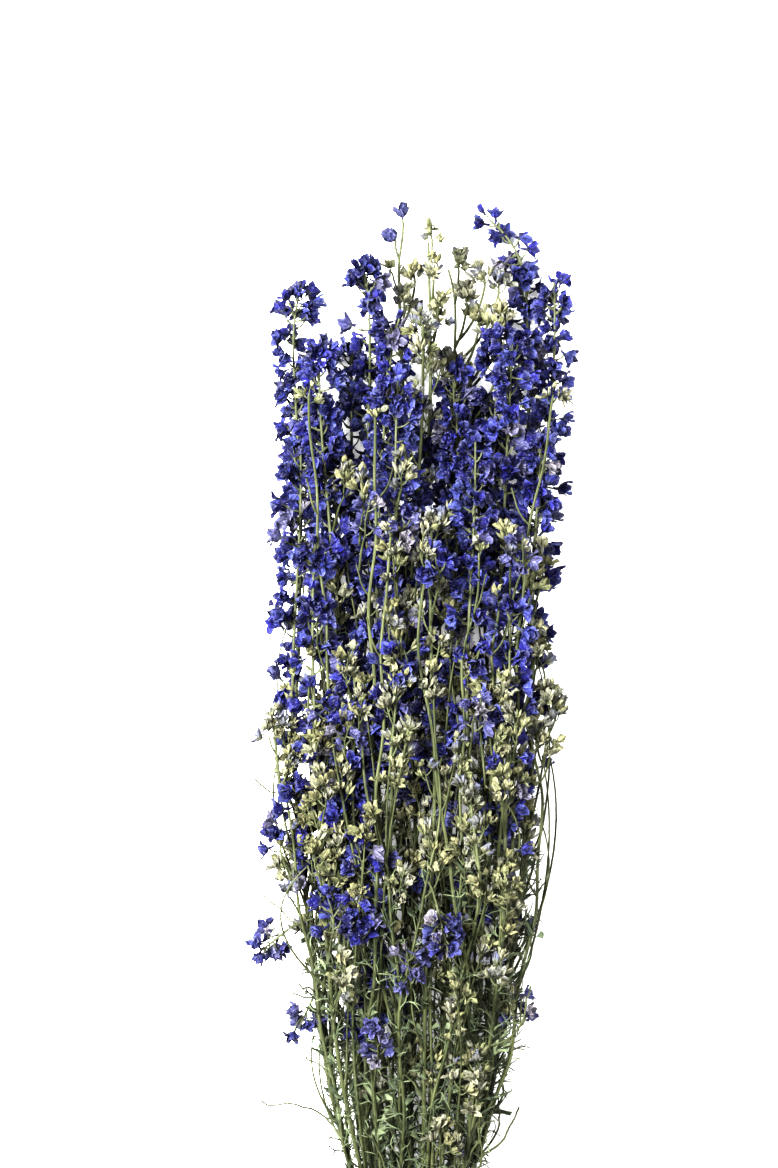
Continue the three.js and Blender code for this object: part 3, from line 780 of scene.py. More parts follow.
LOOSE_SEPALS = Ring(2, 0, 5.4, 2.6, 0.5, 0.0, 0.4, 2)


def closed_bud(seed):
    """A plump closed bud with two sepals that have come loose."""
    shape, dice, centre, heading = on_stalk(seed, (2.5, 5), 0.8, (2, 4.5), BUD_STALK)
    body = husk(dice.uniform(5.5, 7.5), dice.uniform(1.7, 2.3), 8, dice)
    shape.add(body, placing(centre, heading, (0, 0, 1)))
    add_ring(shape, centre, heading, LOOSE_SEPALS, dice, dice.uniform(0, 2))
    return shape


POD_STALK = 0.42
POD_RADIUS = 1.15
POD_COUNT = 3


def seed_pods(seed):
    """Narrow pods that spread from one stalk."""
    shape, dice, centre, heading = on_stalk(seed, (2.5, 4.5), 0.8, (2, 4), POD_STALK)
    for k in range(POD_COUNT):
        out = turned_out(heading, 2 * math.pi * k / POD_COUNT + dice.gauss(0, 0.2))
        pod = husk(dice.uniform(6, 8), POD_RADIUS, 6, dice)
        shape.add(pod, placing(centre, heading + out * 0.4, out))
    return shape


def thread_leaf(seed):
    """A withered, finely cut leaf: a thread that curls, with side threads that curl as well."""
    dice = random.Random(seed)
    shape = Shape()

    def thread(start, heading, length, radius, pieces):
        swing = unit(np.array([dice.gauss(0, 1), dice.gauss(0, 1), dice.gauss(0, 1)]))
        line = [start]
        for _ in range(pieces):
            heading = unit(heading + swing * dice.uniform(0.1, 0.75))
            line.append(line[-1] + heading * length / pieces)
        shape.add(tube(line, [*tapered(radius, radius * 0.6, pieces), 0]), stalk=0.0)
        return line

    rise = dice.uniform(0.5, 1.2)
    heading = np.array([math.cos(rise), 0, math.sin(rise)])
    main = thread(np.zeros(3), heading, dice.uniform(12, 22), 0.62, 5)
    for _ in range(dice.choice([2, 3, 4])):
        i = dice.choice([1, 2, 3, 4])
        sideways = [dice.gauss(0, 0.5), dice.choice([-1, 1]) * dice.uniform(0.4, 1.0), dice.gauss(0, 0.5)]
        heading = unit(unit(main[i + 1] - main[i]) + sideways)
        thread(main[i], heading, dice.uniform(6, 13), 0.5, 4)
    return shape


def lobed_leaf(seed):
    """A withered leaf: a short stalk with narrow lobes that twist and fold."""
    dice = random.Random(seed)
    shape = Shape()
    rise = dice.uniform(0.5, 1.2)
    heading = np.array([math.cos(rise), dice.gauss(0, 0.2), math.sin(rise)])
    end = heading * dice.uniform(3, 7)
    shape.add(tube([np.zeros(3), end * 0.6, end], [0.5, 0.4, 0.3]))
    for k in range(4):
        turned = heading + np.array([dice.gauss(0, 0.3), (k - 1.5) * 0.5, dice.gauss(0, 0.35)])
        lobe = petal(dice.uniform(7, 12), dice.uniform(0.9, 1.5), dice.gauss(0, 0.5), 0.5, 2, dice)
        shape.add(lobe, placing(end * 0.95, turned, (dice.gauss(0, 0.6), 0, 1)))
    return shape


# ---- Growth: rods along lines, and small shapes that stand round them ----

# A line has its points, the radius of the rod along it (0 for none), whether shapes stand round it, and
# how large, how faded and how far apart those are.
Line = namedtuple("Line", "points radius bears size fade spacing", defaults=[0.0, 0.0, 1.0, 0.0, 1.0])


def rod(points, first, last):
    """A line with a bare rod whose radius runs from first to last."""
    return Line(points, tapered(first, last, len(points)))


GROWTH_INPUTS = {
    "Lines": "NodeSocketGeometry",
    "Shapes": "NodeSocketCollection",
    "Material": "NodeSocketMaterial",
    "Sides": "NodeSocketInt",
    "Pitch": "NodeSocketFloat",
    "Turn": "NodeSocketFloat",
    "Tilt": "NodeSocketFloat",
    "Tip Tilt": "NodeSocketFloat",
    "Tilt Spread": "NodeSocketFloat",
    "Tip Size": "NodeSocketFloat",
    "Size Spread": "NodeSocketFloat",
    "Fade Spread": "NodeSocketFloat",
    "Open Forms": "NodeSocketInt",
    "Closed Forms": "NodeSocketInt",
    "Closed From": "NodeSocketFloat",
    "Bare Front": "NodeSocketFloat",
    "Seed": "NodeSocketInt",
}


def growth_tree():
    """The tree that turns lines into rods and stands shapes round them in a golden-angle spiral."""
    tree = bpy.data.node_groups.new("growth", "GeometryNodeTree")
    for name, kind in GROWTH_INPUTS.items():
        tree.interface.new_socket(name=name, in_out="INPUT", socket_type=kind)
    tree.interface.new_socket(name="Growth", in_out="OUTPUT", socket_type="NodeSocketGeometry")
    nodes = Nodes(tree)
    given = tree.nodes.new("NodeGroupInput")
    inputs = {name: Wire(nodes, given.outputs[name]) for name in GROWTH_INPUTS}

    def value_of(name):
        return nodes.add("GeometryNodeInputNamedAttribute", {"data_type": "FLOAT"}, {"Name": name})

    def store(geometry, name, value, domain="POINT"):
        settings = {"data_type": "FLOAT", "domain": domain}
        values = {"Geometry": geometry, "Name": name, "Value": value}
        return nodes.add("GeometryNodeStoreNamedAttribute", settings, values)

    def draw(low, high, salt):
        values = {2: low, 3: high, 8: inputs["Seed"] + salt}
        return nodes.add("FunctionNodeRandomValue", {"data_type": "FLOAT"}, values, output=1)

    def curves_with(name):
        """The lines on which the value of this name is above 0, as curves."""
        values = {"Mesh": inputs["Lines"], "Selection": value_of(name).above(0.0)}
        return nodes.add("GeometryNodeMeshToCurve", {}, values)

    def turned(rotation, axis, angle):
        turn = nodes.add("FunctionNodeAxisAngleToRotation", {}, {"Axis": axis, "Angle": angle})
        values = {"Rotation": rotation, "Rotate By": turn}
        return nodes.add("FunctionNodeRotateRotation", {"rotation_space": "LOCAL"}, values)

    values = {"Resolution": inputs["Sides"], "Radius": 1.0}
    profile = nodes.add("GeometryNodeCurvePrimitiveCircle", {}, values)
    profile = store(profile, "around", nodes.add("GeometryNodeSplineParameter"))
    values = {"Profile Curve": profile, "Scale": value_of("radius"), "Fill Caps": True}
    rods = nodes.add("GeometryNodeCurveToMesh", {}, {"Curve": curves_with("radius"), **values})
    rods = nodes.add("GeometryNodeSetShadeSmooth", {}, {"Geometry": store(rods, "stalk", 1.0)})

    values = {"Curve": curves_with("bears"), "Length": value_of("spacing") * inputs["Pitch"]}
    axes = nodes.add("GeometryNodeResampleCurve", {"mode": "LENGTH"}, values)
    share = nodes.add("GeometryNodeSplineParameter")
    index = nodes.add("GeometryNodeInputIndex")
    tangent = nodes.add("GeometryNodeInputTangent")
    rotation = nodes.add("FunctionNodeAlignRotationToVector", {"axis": "Z"}, {"Vector": tangent})
    rotation = turned(rotation, (0, 0, 1), index * inputs["Turn"] + draw(-0.35, 0.35, 1))
    tilt = inputs["Tilt"] + inputs["Tip Tilt"] * share**3 + draw(-1.0, 1.0, 2) * inputs["Tilt Spread"]
    rotation = turned(rotation, (0, 1, 0), tilt * -1.0)
    near_tip = ((share - 0.5) * 2).limited()
    size = 1 - near_tip * near_tip * (1 - inputs["Tip Size"])
    size = size * value_of("size") * (1 + draw(-1.0, 1.0, 3) * inputs["Size Spread"])
    is_closed = (share + draw(-0.08, 0.08, 4)).above(inputs["Closed From"])
    open_form = (draw(0.0, 0.999, 5) * inputs["Open Forms"]).floor()
    closed_form = (inputs["Open Forms"] + draw(0.0, 0.999, 6) * inputs["Closed Forms"]).floor()
    facing = nodes.add("FunctionNodeRotateVector", {}, {"Vector": (1, 0, 0), "Rotation": rotation})
    height = nodes.add("ShaderNodeSeparateXYZ", {}, {"Vector": facing}, output="Z")
    left_out = ((height - 0.55) * 2.2).limited() * inputs["Bare Front"]
    shapes = {"Collection": inputs["Shapes"], "Separate Children": True}
    values = {
        "Points": axes,
        "Selection": draw(0.0, 1.0, 9).above(left_out),
        "Instance": nodes.add("GeometryNodeCollectionInfo", {}, shapes),
        "Pick Instance": True,
        "Instance Index": open_form + is_closed * (closed_form - open_form),
        "Rotation": rotation,
        "Scale": size,
    }
    borne = nodes.add("GeometryNodeInstanceOnPoints", {}, values)
    borne = store(borne, "tint", draw(0.0, 1.0, 7), "INSTANCE")
    fade = value_of("fade") + draw(0.0, 1.0, 8) ** 6 * inputs["Fade Spread"]
    borne = store(borne, "fade", fade, "INSTANCE")
    borne = nodes.add("GeometryNodeRealizeInstances", {}, {"Geometry": borne})
    grown = nodes.add("GeometryNodeJoinGeometry", {}, {"Geometry": [rods, borne]})
    grown = nodes.add("GeometryNodeSetMaterial", {}, {"Geometry": grown, "Material": inputs["Material"]})
    result = tree.nodes.new("NodeGroupOutput")
    nodes.plug(result.inputs["Growth"], grown)
    return tree


def lines_mesh(name, lines):
    """A mesh of edges, a chain for each line, with the line's values at its points."""
    points, edges = [], []
    values = defaultdict(list)
    for line in lines:
        count = len(line.points)
        edges += [(len(points) + i, len(points) + i + 1) for i in range(count - 1)]
        points += [tuple(p) for p in to_row(line.points)]
        values["radius"] += list(np.broadcast_to(np.asarray(line.radius, float) * MM, count))
        for key in ("bears", "size", "fade", "spacing"):
            values[key] += [float(getattr(line, key))] * count
    mesh = bpy.data.meshes.new(name)
    mesh.from_pydata(points, edges, [])
    for key, numbers in values.items():
        mesh.attributes.new(key, "FLOAT", "POINT").data.foreach_set("value", numbers)
    return mesh


PRESS_FROM = 6.0  # what would hang lower than this is pressed towards the surface


def press_on_surface(mesh):
    """Bends what hangs low so that it lies just above the surface."""
    points = np.empty(len(mesh.vertices) * 3, np.float32)
    mesh.vertices.foreach_get("co", points)
    points = points.reshape(-1, 3)
    start = PRESS_FROM * MM
    low = points[:, 2] < start
    points[low, 2] = start * np.exp((points[low, 2] - start) / start)
    mesh.vertices.foreach_set("co", points.ravel())
    mesh.update()


def grow(name, lines, look, seed, replaced=()):
    """Runs the growth tree on lines, and keeps the result as one piece that rides on the bunch."""
    material, slot, sizes = LOOKS[look]
    source = bpy.data.objects.new(f"{name} lines", lines_mesh(name, lines))
    bpy.context.scene.collection.objects.link(source)
    modifier = source.modifiers.new("growth", "NODES")
    modifier.node_group = GROWTH
    given = {"Material": material, "Seed": seed, **sizes}
    for item in GROWTH.interface.items_tree:
        if item.in_out == "INPUT" and item.name in given:
            modifier[item.identifier] = given[item.name]
    depsgraph = bpy.context.evaluated_depsgraph_get()
    mesh = bpy.data.meshes.new_from_object(source.evaluated_get(depsgraph), depsgraph=depsgraph)
    bpy.data.objects.remove(source)
    press_on_surface(mesh)
    piece = bpy.data.objects.new(name, mesh)
    mesh.name = name
    bpy.context.scene.collection.objects.link(piece)
    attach(piece, "root")
    if replaced:
        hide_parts(*replaced)


# ---- What grows where ----

# Seeds of the random draws. To the first six a stem's or side spike's number is added.
STRAY_SEED = 50
FORK_SEED = 900
BRANCH_SEED = 1700
WHORL_SEED = 2600
SPIKE_SEED = 3100
SIDE_SPIKE_SEED = 3200
FRONT_SEED = 77
STALK_SEED = 4100
TOP_SEED = 4200
ROUND_BUD_SEED = 61

# Seeds of the growth tree's own draws. To the first four the number of a stem, side spike or layer is added.
STEM_GROWTH = 0
SPIKE_GROWTH = 100
SIDE_SPIKE_GROWTH = 200
CLUSTER_GROWTH = 300
PALE_GROWTH = 400
TWINE_GROWTH = 1

FORKS_PER_STEM = 4
FORK_LOW_Y, FORK_HIGH_Y = -225, 90
FORKS_PAST_BASE = [-60, -60, -60, 20]  # by layer: how far past the spike's base they may start
FORK_LENGTHS = (55, 120)
FORK_REACHES = (8, 20)
FORK_RADIUS = 0.85
UPWARD_SHARES = {0: 1.0, 3: 0.7}  # by layer: the share of forks that leave upwards, off the surface
BRANCHES_PER_STEM = [1, 2, 2, 1]  # by layer
BRANCH_STARTS = (-320, -130)
BRANCH_LENGTHS = (130, 330)
BRANCH_REACHES = (16, 44)
BRANCH_RADIUS = 1.15
LOWEST_BLOOM_Y = -195
SPARSE_BLOOM_Y = -100
BLUE_FROM_Y = 90  # from here up the spikes stand close, and blue florets are among what the twigs bear
CLUSTER_LENGTHS = (10, 24)
CLUSTER_KINDS = ["bud", "lilac", "blue"]
KIND_WEIGHTS = [(BLUE_FROM_Y, [2, 1, 1]), (-60, [6, 0.8, 0.1]), (-math.inf, [6, 0.6, 0.1])]  # above each y
WHORL_LOW_Y = -90
WHORL_LENGTH = 6
WHORL_PITCH = 56
WHORL_SPACING = [1.9, 1.9, 1.2, 1.2]  # by layer, in pitches, and twice that from BLUE_FROM_Y up
STRAYS_PER_STEM = 4
STRAY_STEPS = 12
LOOSE_SHARE = 0.36  # of a blue spike's length, from its base, where florets have fallen
EDGE_X = 60
FRONT_LAYERS = (2, 3)
TWIG_DROP = 30  # how far below a cluster the stem that bears its twig is looked for
SIDE_SPIKE_STEPS = 6

# Clusters in front, as [x, y] of their middles: buds, faded lilac florets and blue ones.
FRONT_CLUSTERS = {
    "bud": [
        (-31, 195), (-7, 209), (-44, 205), (6, 163), (22, 175), (-5, 121), (6, 86), (10, 73), (-34, 58),
        (-7, 99), (-42, 86), (-12, 153), (62, 164), (77, 99), (88, 62), (-18, -133), (2, -171), (54, -110),
        (42, -170), (39, -193), (63, -133), (-3, -101), (1, 45), (23, 41), (-29, 13), (-11, 16), (-27, 31),
        (21, 57), (26, 70), (-60, 40), (-55, 8), (-62, -30), (44, 20), (58, 8), (52, -22), (33, -38),
        (12, -28), (-8, -52), (28, 5), (66, 48), (70, 20), (-48, 132), (84, 150), (-20, -10), (60, -60),
        (5, -5), (-45, -110), (28, -146), (40, -106), (-27, -65), (-27, -188), (18, -218), (30, -230),
        (-82, 47), (-76, 30), (-80, 14), (-70, -10), (-71, -28), (-80, -51), (80, 44), (80, 96), (36, -10),
        (0, 20), (-15, 115), (21, 127), (-53, 65), (76, 137),
    ],
    "lilac": [
        (-30, 180), (38, 53), (-43, 41), (-8, 170), (50, 60), (30, -15), (70, 158), (-22, -158), (70, -136),
    ],
    "blue": [
        (-73, 0), (-85, -25), (-64, -46), (-48, -58), (-33, -82), (-31, -143), (-25, 98), (-14, 84),
        (-26, 70), (-12, 56), (-24, 44), (-46, 0), (-20, 22), (17, 146), (-18, -109), (-32, -37),
        (-50, -72), (0, -57), (-50, 14), (41, -70),
    ],
}


def fork_turn(index, dice):
    """Which way a fork leaves a stem: up off the surface at the bottom, and inwards at the sides."""
    stem = STEMS[index]
    is_upward = stem.layer in UPWARD_SHARES and dice.random() < UPWARD_SHARES[stem.layer]
    turn = dice.uniform(0.1, math.pi - 0.1) if is_upward else dice.uniform(0, 2 * math.pi)
    if abs(stem.column) > EDGE_X and math.cos(turn) * stem.column > 0:
        turn = math.pi - turn
    return turn


def fork_line(index, low, length, turn, reach, lean=2.0):
    """A side branch that leaves the stem at height low, reach away at its end. At lean 1 it runs straight."""
    away = np.array([math.cos(turn), 0, math.sin(turn)])
    count = max(round(length / STEP), 3)
    line = []
    for i in range(count + 1):
        t = i / count
        wander = 3 * math.sin(t * 6 + turn * 3)
        line.append(stem_point(index, low + length * t) + away * (reach * (1 - (1 - t) ** lean) + wander * t))
    return line


def crossing_turn(index, dice):
    """Which way a long branch leaves a stem: across the bunch, a little upwards, and inwards at the sides."""
    rise = dice.uniform(0.05, 0.9)
    towards_right = dice.random() < 0.5 - STEMS[index].column / (2 * EDGE_X)
    return rise if towards_right else math.pi - rise


def cluster_kind(y, dice):
    """Old buds for the most part, with a blue cluster here and there among the spikes."""
    weights = next(weights for from_y, weights in KIND_WEIGHTS if y > from_y)
    return dice.choices(CLUSTER_KINDS, weights)[0]


def add_forks(index, green, blooms):
    """Side branches all round a stem. Most end in a loose cluster."""
    dice = random.Random(index + FORK_SEED)
    layer = STEMS[index].layer
    high = min(spike_base_y(index) + FORKS_PAST_BASE[layer], FORK_HIGH_Y)
    for k in range(FORKS_PER_STEM):
        low = lerp(FORK_LOW_Y, high, (k + dice.random()) / FORKS_PER_STEM)
        length = dice.uniform(*FORK_LENGTHS)
        line = fork_line(index, low, length, fork_turn(index, dice), dice.uniform(*FORK_REACHES))
        green.append(rod(line, FORK_RADIUS, FORK_RADIUS * 0.6))
        end_y = low + length
        is_too_low = end_y < (LOWEST_BLOOM_Y if k % 2 else SPARSE_BLOOM_Y)
        is_among_spikes = end_y > BLUE_FROM_Y and k % 2 == 1
        if is_too_low or is_among_spikes:
            continue
        steps = max(round(dice.uniform(*CLUSTER_LENGTHS) / STEP), 2)
        blooms[cluster_kind(end_y, dice), layer].append(line[-steps - 1 :])


def add_branches(index, green, blooms):
    """Long side branches from low on the stem, with loose clusters along their upper half."""
    dice = random.Random(index + BRANCH_SEED)
    layer = STEMS[index].layer
    for _ in range(BRANCHES_PER_STEM[layer]):
        low = dice.uniform(*BRANCH_STARTS)
        length = dice.uniform(*BRANCH_LENGTHS)
        turn = crossing_turn(index, dice)
        line = fork_line(index, low, length, turn, dice.uniform(*BRANCH_REACHES), lean=1.1)
        radius = BRANCH_RADIUS * dice.uniform(0.7, 1.3)
        green.append(rod(line, radius, FORK_RADIUS * 0.7))
        for start in range(len(line) // 2, len(line) - 5, dice.choice([8, 10, 12])):
            if line[start][1] < LOWEST_BLOOM_Y:
                continue
            blooms[cluster_kind(line[start][1], dice), layer].append(line[start : start + 2])
        kind = dice.choice(["bud", "blue"]) if line[-1][1] > 0 else "bud"
        blooms[kind, layer].append(line[-3:])


def add_whorls(index, blooms):
    """Loose whorls of old buds on the bare stem under its spike, and among the spike's lower florets."""
    dice = random.Random(index + WHORL_SEED)
    layer = STEMS[index].layer
    y = WHORL_LOW_Y
    high = spike_base_y(index) + LOOSE_SHARE * STEMS[index].length
    pitch = WHORL_PITCH * WHORL_SPACING[layer]
    while y < high:
        kind = dice.choices(["bud", "lilac"], [6, 1])[0]
        blooms[kind, layer].append([stem_point(index, y), stem_point(index, y + WHORL_LENGTH)])
        y += pitch * dice.uniform(0.6, 1.5) * (2 if y > BLUE_FROM_Y else 1)


# Stretches of the pale stems that blue florets crowd round: the stem, from and to which height.
CROWDED_STRETCHES = [(9, 60, 240), (16, 40, 200), (23, 20, 80), (3, 110, 250), (2, 150, 275)]


def nearest_stem(x, y, layers):
    def distance(index):
        return abs(stem_point(index, y)[0] - x)

    return min((i for i, stem in enumerate(STEMS) if stem.layer in layers), key=distance)


def add_front_cluster(x, y, kind, greens, blooms, dice):
    """A cluster in front of the bunch on a twig of the nearest stem."""
    index = nearest_stem(x, y - TWIG_DROP, FRONT_LAYERS)
    middle = np.array([x, y, stem_point(index, y)[2] + dice.uniform(11, 17)])
    gap = abs(stem_point(index, y - TWIG_DROP)[0] - x)
    root = stem_point(index, y - 26 - gap * 1.2)
    start = middle - np.array([0, 9, 2])
    bend = lerp(root, start, 0.5) + np.array([0, 8, 5])
    twig = bezier(root, bend, start, 5)
    tip = middle + np.array([dice.uniform(-3, 3), 9, 1])
    axis = [start, middle, tip]
    greens[index].append(rod(twig + axis[1:], FORK_RADIUS, FORK_RADIUS * 0.55))
    blooms[kind, STEMS[index].layer].append(axis)


# Long stalks that lie over the front of the bunch, as [x, y] on their way up.
FRONT_STALKS = [
    [(-52, -180), (-65, -104), (-74, -55), (-80, -2), (-80, 25), (-77, 66)],
    [(-34, -200), (-42, -104), (-44, -55), (-59, -2), (-65, 25), (-66, 64), (-63, 95)],
    [(-6, -190), (-10, -95), (-17, -36), (-31, 18), (-34, 51), (-37, 90)],
    [(38, -200), (35, -95), (22, -38), (16, 22), (9, 60), (2, 118), (10, 160)],
    [(-10, -150), (-2, -95), (7, -62), (15, -25), (18, 20), (12, 70)],
    [(50, -190), (57, -68), (55, -10), (63, 38), (72, 58), (78, 95)],
    [(60, -180), (72, -103), (80, -68), (84, -2), (79, 25), (76, 50)],
    [(30, -60), (32, 56), (32, 98), (40, 128), (43, 160)],
    [(45, -100), (51, 20), (53, 81), (50, 98), (55, 130)],
    [(62, -40), (66, 40), (68, 107), (71, 150), (80, 200), (92, 262)],
    [(-30, -160), (-22, -80), (-24, -10), (-18, 60), (-20, 120), (-12, 175)],
    [(8, -230), (20, -160), (38, -90), (46, -20), (44, 60)],
    [(-55, -60), (-50, 40), (-56, 120), (-62, 200), (-66, 262)],
    [(-24, 60), (-28, 130), (-22, 190), (-25, 246)],
]
STALK_RADIUS = 1.45
STALK_SWAY = 1.1
STALK_SWAY_PITCH = 13
STALK_SWAY_STEPS = 6  # over which the sway sets in
LEAF_TOP_Y = -45
FRONT_Z = 112
FRONT_ROUND = 220  # the front of the bunch falls off by x squared over this
SPRIG_SHARES = (0.5, 0.72)  # of the stalk's length, where its sprigs leave it
STALK_DROP = 50  # how far below its first place the stem that bears a stalk is looked for
ROUNDING_PASSES = 3


def front_point(x, y):
    return np.array([x, y, lerp(TIE_Z, FRONT_Z, spread(y)) - x * x / FRONT_ROUND])


def rounded(points):
    """The points with their corners cut, pass after pass."""
    for _ in range(ROUNDING_PASSES):
        cut = [points[0]]
        for a, b in zip(points, points[1:]):
            cut += [lerp(a, b, 0.25), lerp(a, b, 0.75)]
        points = [*cut, points[-1]]
    return points


def add_front_stalk(places, greens, blooms, dice):
    """A long stalk over the front, with a cluster at its end and a few on short sprigs."""
    x, y = places[0]
    index = nearest_stem(x, y - STALK_DROP, FRONT_LAYERS)
    root = stem_point(index, y - STALK_DROP - 10)
    line = rounded([root, *(front_point(*place) for place in places)])
    phase = dice.uniform(0, 6)
    for i, point in enumerate(line):
        point[0] += STALK_SWAY * min(i / STALK_SWAY_STEPS, 1) * math.sin(point[1] / STALK_SWAY_PITCH + phase)
    radius = STALK_RADIUS * dice.uniform(0.7, 1.05)
    greens[index].append(rod(line, radius, radius * 0.6))
    leafy = [point for point in line if point[1] < LEAF_TOP_Y]
    if len(leafy) > 1:
        greens[index].append(Line(leafy, bears=1, size=0.9, spacing=1.3))
    blooms["bud", FRONT_LAYERS[-1]].append(line[-4:])
    for share in SPRIG_SHARES:
        start = line[int(share * len(line))]
        side = dice.choice([-1, 1])
        reach = np.array([side * dice.uniform(5, 10), dice.uniform(12, 20), dice.uniform(0, 4)])
        sprig = bezier(start, start + reach * np.array([0.8, 0.4, 1]), start + reach, 4)
        sprig.append(sprig[-1] + np.array([side * 2, 7, 0]))
        greens[index].append(rod(sprig, 0.7, 0.5))
        if sprig[-2][1] < BLUE_FROM_Y:
            blooms["bud", FRONT_LAYERS[-1]].append(sprig[-2:])


# Pale clusters among the tips, as [x, y] of their middles, each on a twig of the nearest pale stem.
TOP_CLUSTERS = [
    (13, 364), (14, 341), (2, 341), (31, 350), (36, 326), (17, 320), (-5, 326), (7, 306), (7, 289), (48, 340),
    (57, 335), (44, 312), (52, 307), (60, 313), (30, 285), (40, 261), (57, 287),
]


def add_top_cluster(x, y, greens, pale, dice):
    """A pale cluster among the tips on a twig of the nearest pale stem."""
    stems = [i for i, stem in enumerate(STEMS) if stem.kind == "cream" and stem.tip[1] > y - TWIG_DROP]
    index = min(stems, key=lambda i: abs(stem_point(i, y - TWIG_DROP)[0] - x))
    gap = abs(stem_point(index, y - TWIG_DROP)[0] - x)
    low = min(y - 22 - gap, STEMS[index].tip[1] - 12)
    root = stem_point(index, low)
    middle = np.array([x, y, root[2] + dice.uniform(8, 20)])
    start = middle - np.array([0, 4, 0])
    bend = np.array([lerp(root[0], x, 0.8), lerp(low, y, 0.35), lerp(root[2], middle[2], 0.5)])
    twig = bezier(root, bend, start, 7)
    axis = [start, middle, middle + np.array([dice.uniform(-2, 2), 4, 0])]
    greens[index].append(rod(twig + axis[1:], 1.0, 0.7))
    looks = {"size": dice.uniform(0.95, 1.15), "fade": dice.uniform(0.05, 0.45), "spacing": 0.42}
    pale.append(Line(axis, bears=1, **looks))


def stray_line(index, low, length, dice):
    """A thin bare thread that leaves the stem and curls."""
    start = stem_point(index, low)
    heading = unit(np.array([dice.gauss(0, 0.5), 1.0, dice.gauss(0.1, 0.4)]))
    swing = unit(np.cross(heading, (dice.gauss(0, 1), 0.2, 1.0)))
    line = []
    for i in range(STRAY_STEPS + 1):
        t = i / STRAY_STEPS
        curl = math.sin(t * dice.uniform(3.6, 4.2)) * length * 0.16
        line.append(start + heading * length * t + swing * curl)
    return line


def add_strays(index, green):
    dice = random.Random(index + STRAY_SEED)
    for _ in range(STRAYS_PER_STEM):
        stray = stray_line(index, dice.uniform(-270, -20), dice.uniform(30, 70), dice)
        green.append(rod(stray, 0.75, 0.55))


# Long thin threads that bow out of the bunch at its sides: the stem, from and to which height, and how
# far out.
SIDE_ARCS = [
    (19, -150, 30, 16), (12, -120, 44, 20), (19, -105, -10, 15), (25, -215, -120, 15), (12, -70, 90, 14),
    (18, 20, 110, 30), (13, -215, -150, -9), (6, -235, -160, -8), (13, -60, 40, -14), (20, -120, -40, -26),
    (6, 20, 120, -12),
]
ARC_RADIUS = 0.85


def arc_line(index, low, high, out):
    start, end = stem_point(index, low), stem_point(index, high)
    middle = lerp(start, end, 0.55) + np.array([out * 2, 0, 6])
    return bezier(start, middle, end + np.array([out * 0.4, 0, 4]), 16)


def shoot_line(shoot):
    start = stem_point(shoot.parent, shoot.root)
    base, tip = np.array(shoot.base, float), np.array(shoot.tip, float)
    bend = base - unit(tip - base) * 0.6 * np.linalg.norm(base - start)
    return bezier(start, bend, base, 9)


LEAF_LOW_Y = TIE_Y + 40
LEAF_ZONE = 70  # the height of the middle zone of leaves


def leaf_axes(index):
    """Where thread leaves stand: close together low on the stem, sparser and smaller above."""
    top = spike_base_y(index) - 8
    middle = min(LEAF_TOP_Y, top - 20)
    spacing = 0.95 if STEMS[index].layer < 2 else 1.0
    zones = [
        (LEAF_LOW_Y, middle - LEAF_ZONE, 1.15, spacing),
        (middle - LEAF_ZONE, middle, 1.0, 1.4 * spacing),
        (middle, top, 0.6, 1.5),
    ]
    return [
        Line(stem_line(index, low, high), bears=1, size=size, spacing=apart)
        for low, high, size, apart in zones
    ]


# ---- Spikes: the lines of each kind, and of those stems that have a way of their own ----

HOOKED_STEM = 5
LOOSE_STEPS = 8  # at its top, where florets stand loose
DENSE_STEM = 21
CLEAR_TOPPED_STEMS = (3, 9)  # their tops are left to the pale clusters among the tips
CLEAR_STEPS = 8
ROUND_BUDS_STEM = 2
BARE_STEPS = 5  # at its top, below the round buds
BARE_TOP_LEAN = np.array([7, 3, 0])  # how far its tip leans from the line of its solid

# The lengths of a blue spike's clumps of florets and of the gaps between them, in steps along it.
LOOSE_CLUMPS = ([1, 2, 3], [1, 1, 2])
DENSE_CLUMPS = ([2, 3, 4, 5], [0, 0, 0, 1])


def blue_spike_lines(line, dice, loose=0, loose_share=LOOSE_SHARE):
    """The rachis, and clumps of florets along it: loose in its lower third and, where told, at its top."""
    lines = [rod(line, 1.3, 0.7)]
    if loose:
        lines.append(Line(line[-loose:], bears=1, size=1.12, spacing=1.0))
    line = line[: -max(loose - 1, 1)]
    start = 0
    while start < len(line) - 2:
        clumps, gaps = LOOSE_CLUMPS if start < len(line) * loose_share else DENSE_CLUMPS
        end = start + dice.choice(clumps)
        lines.append(Line(line[start : end + 1], bears=1, size=dice.uniform(1.03, 1.24)))
        start = end + dice.choice(gaps)
    if not loose:
        lines.append(Line(line[-3:], bears=1, size=0.95, spacing=0.7))
    return lines


def blue_shoot_lines(line, dice):
    """A short side spike with a dense head, faded a little."""
    head = Line(line[1:-2], bears=1, size=0.95, fade=0.42, spacing=0.5)
    return [rod(line, 0.9, 0.5), head]


def cream_spike_lines(line, dice, bare=0):
    """The rachis, and short curved twigs to both sides with a loose cluster on each, but for a bare top."""
    lines = [rod(line, 1.2, 0.8)]
    side = dice.choice([-1, 1])
    start = 0
    while start < len(line) - 1 - bare:
        root = line[start]
        away = unit(np.array([side * dice.uniform(0.5, 1.0), 1.0, dice.uniform(0.0, 0.7)]))
        bend = root + away * dice.uniform(3, 6)
        end = bend + np.array([away[0] * 2, dice.uniform(3, 6), away[2] * 2])
        tip = end + unit(end - bend) * 5
        twig = [*bezier(root, bend, end, 3), tip]
        lines.append(rod(twig, 0.7, 0.6))
        looks = {"size": dice.uniform(0.9, 1.05), "fade": dice.uniform(0.1, 0.62), "spacing": 0.45}
        lines.append(Line([end, tip], bears=1, **looks))
        side = -side
        start += dice.choice([2, 3, 3])
    if not bare:
        lines.append(Line(line[-2:], bears=1, size=1.0, fade=0.4, spacing=0.5))
    return lines


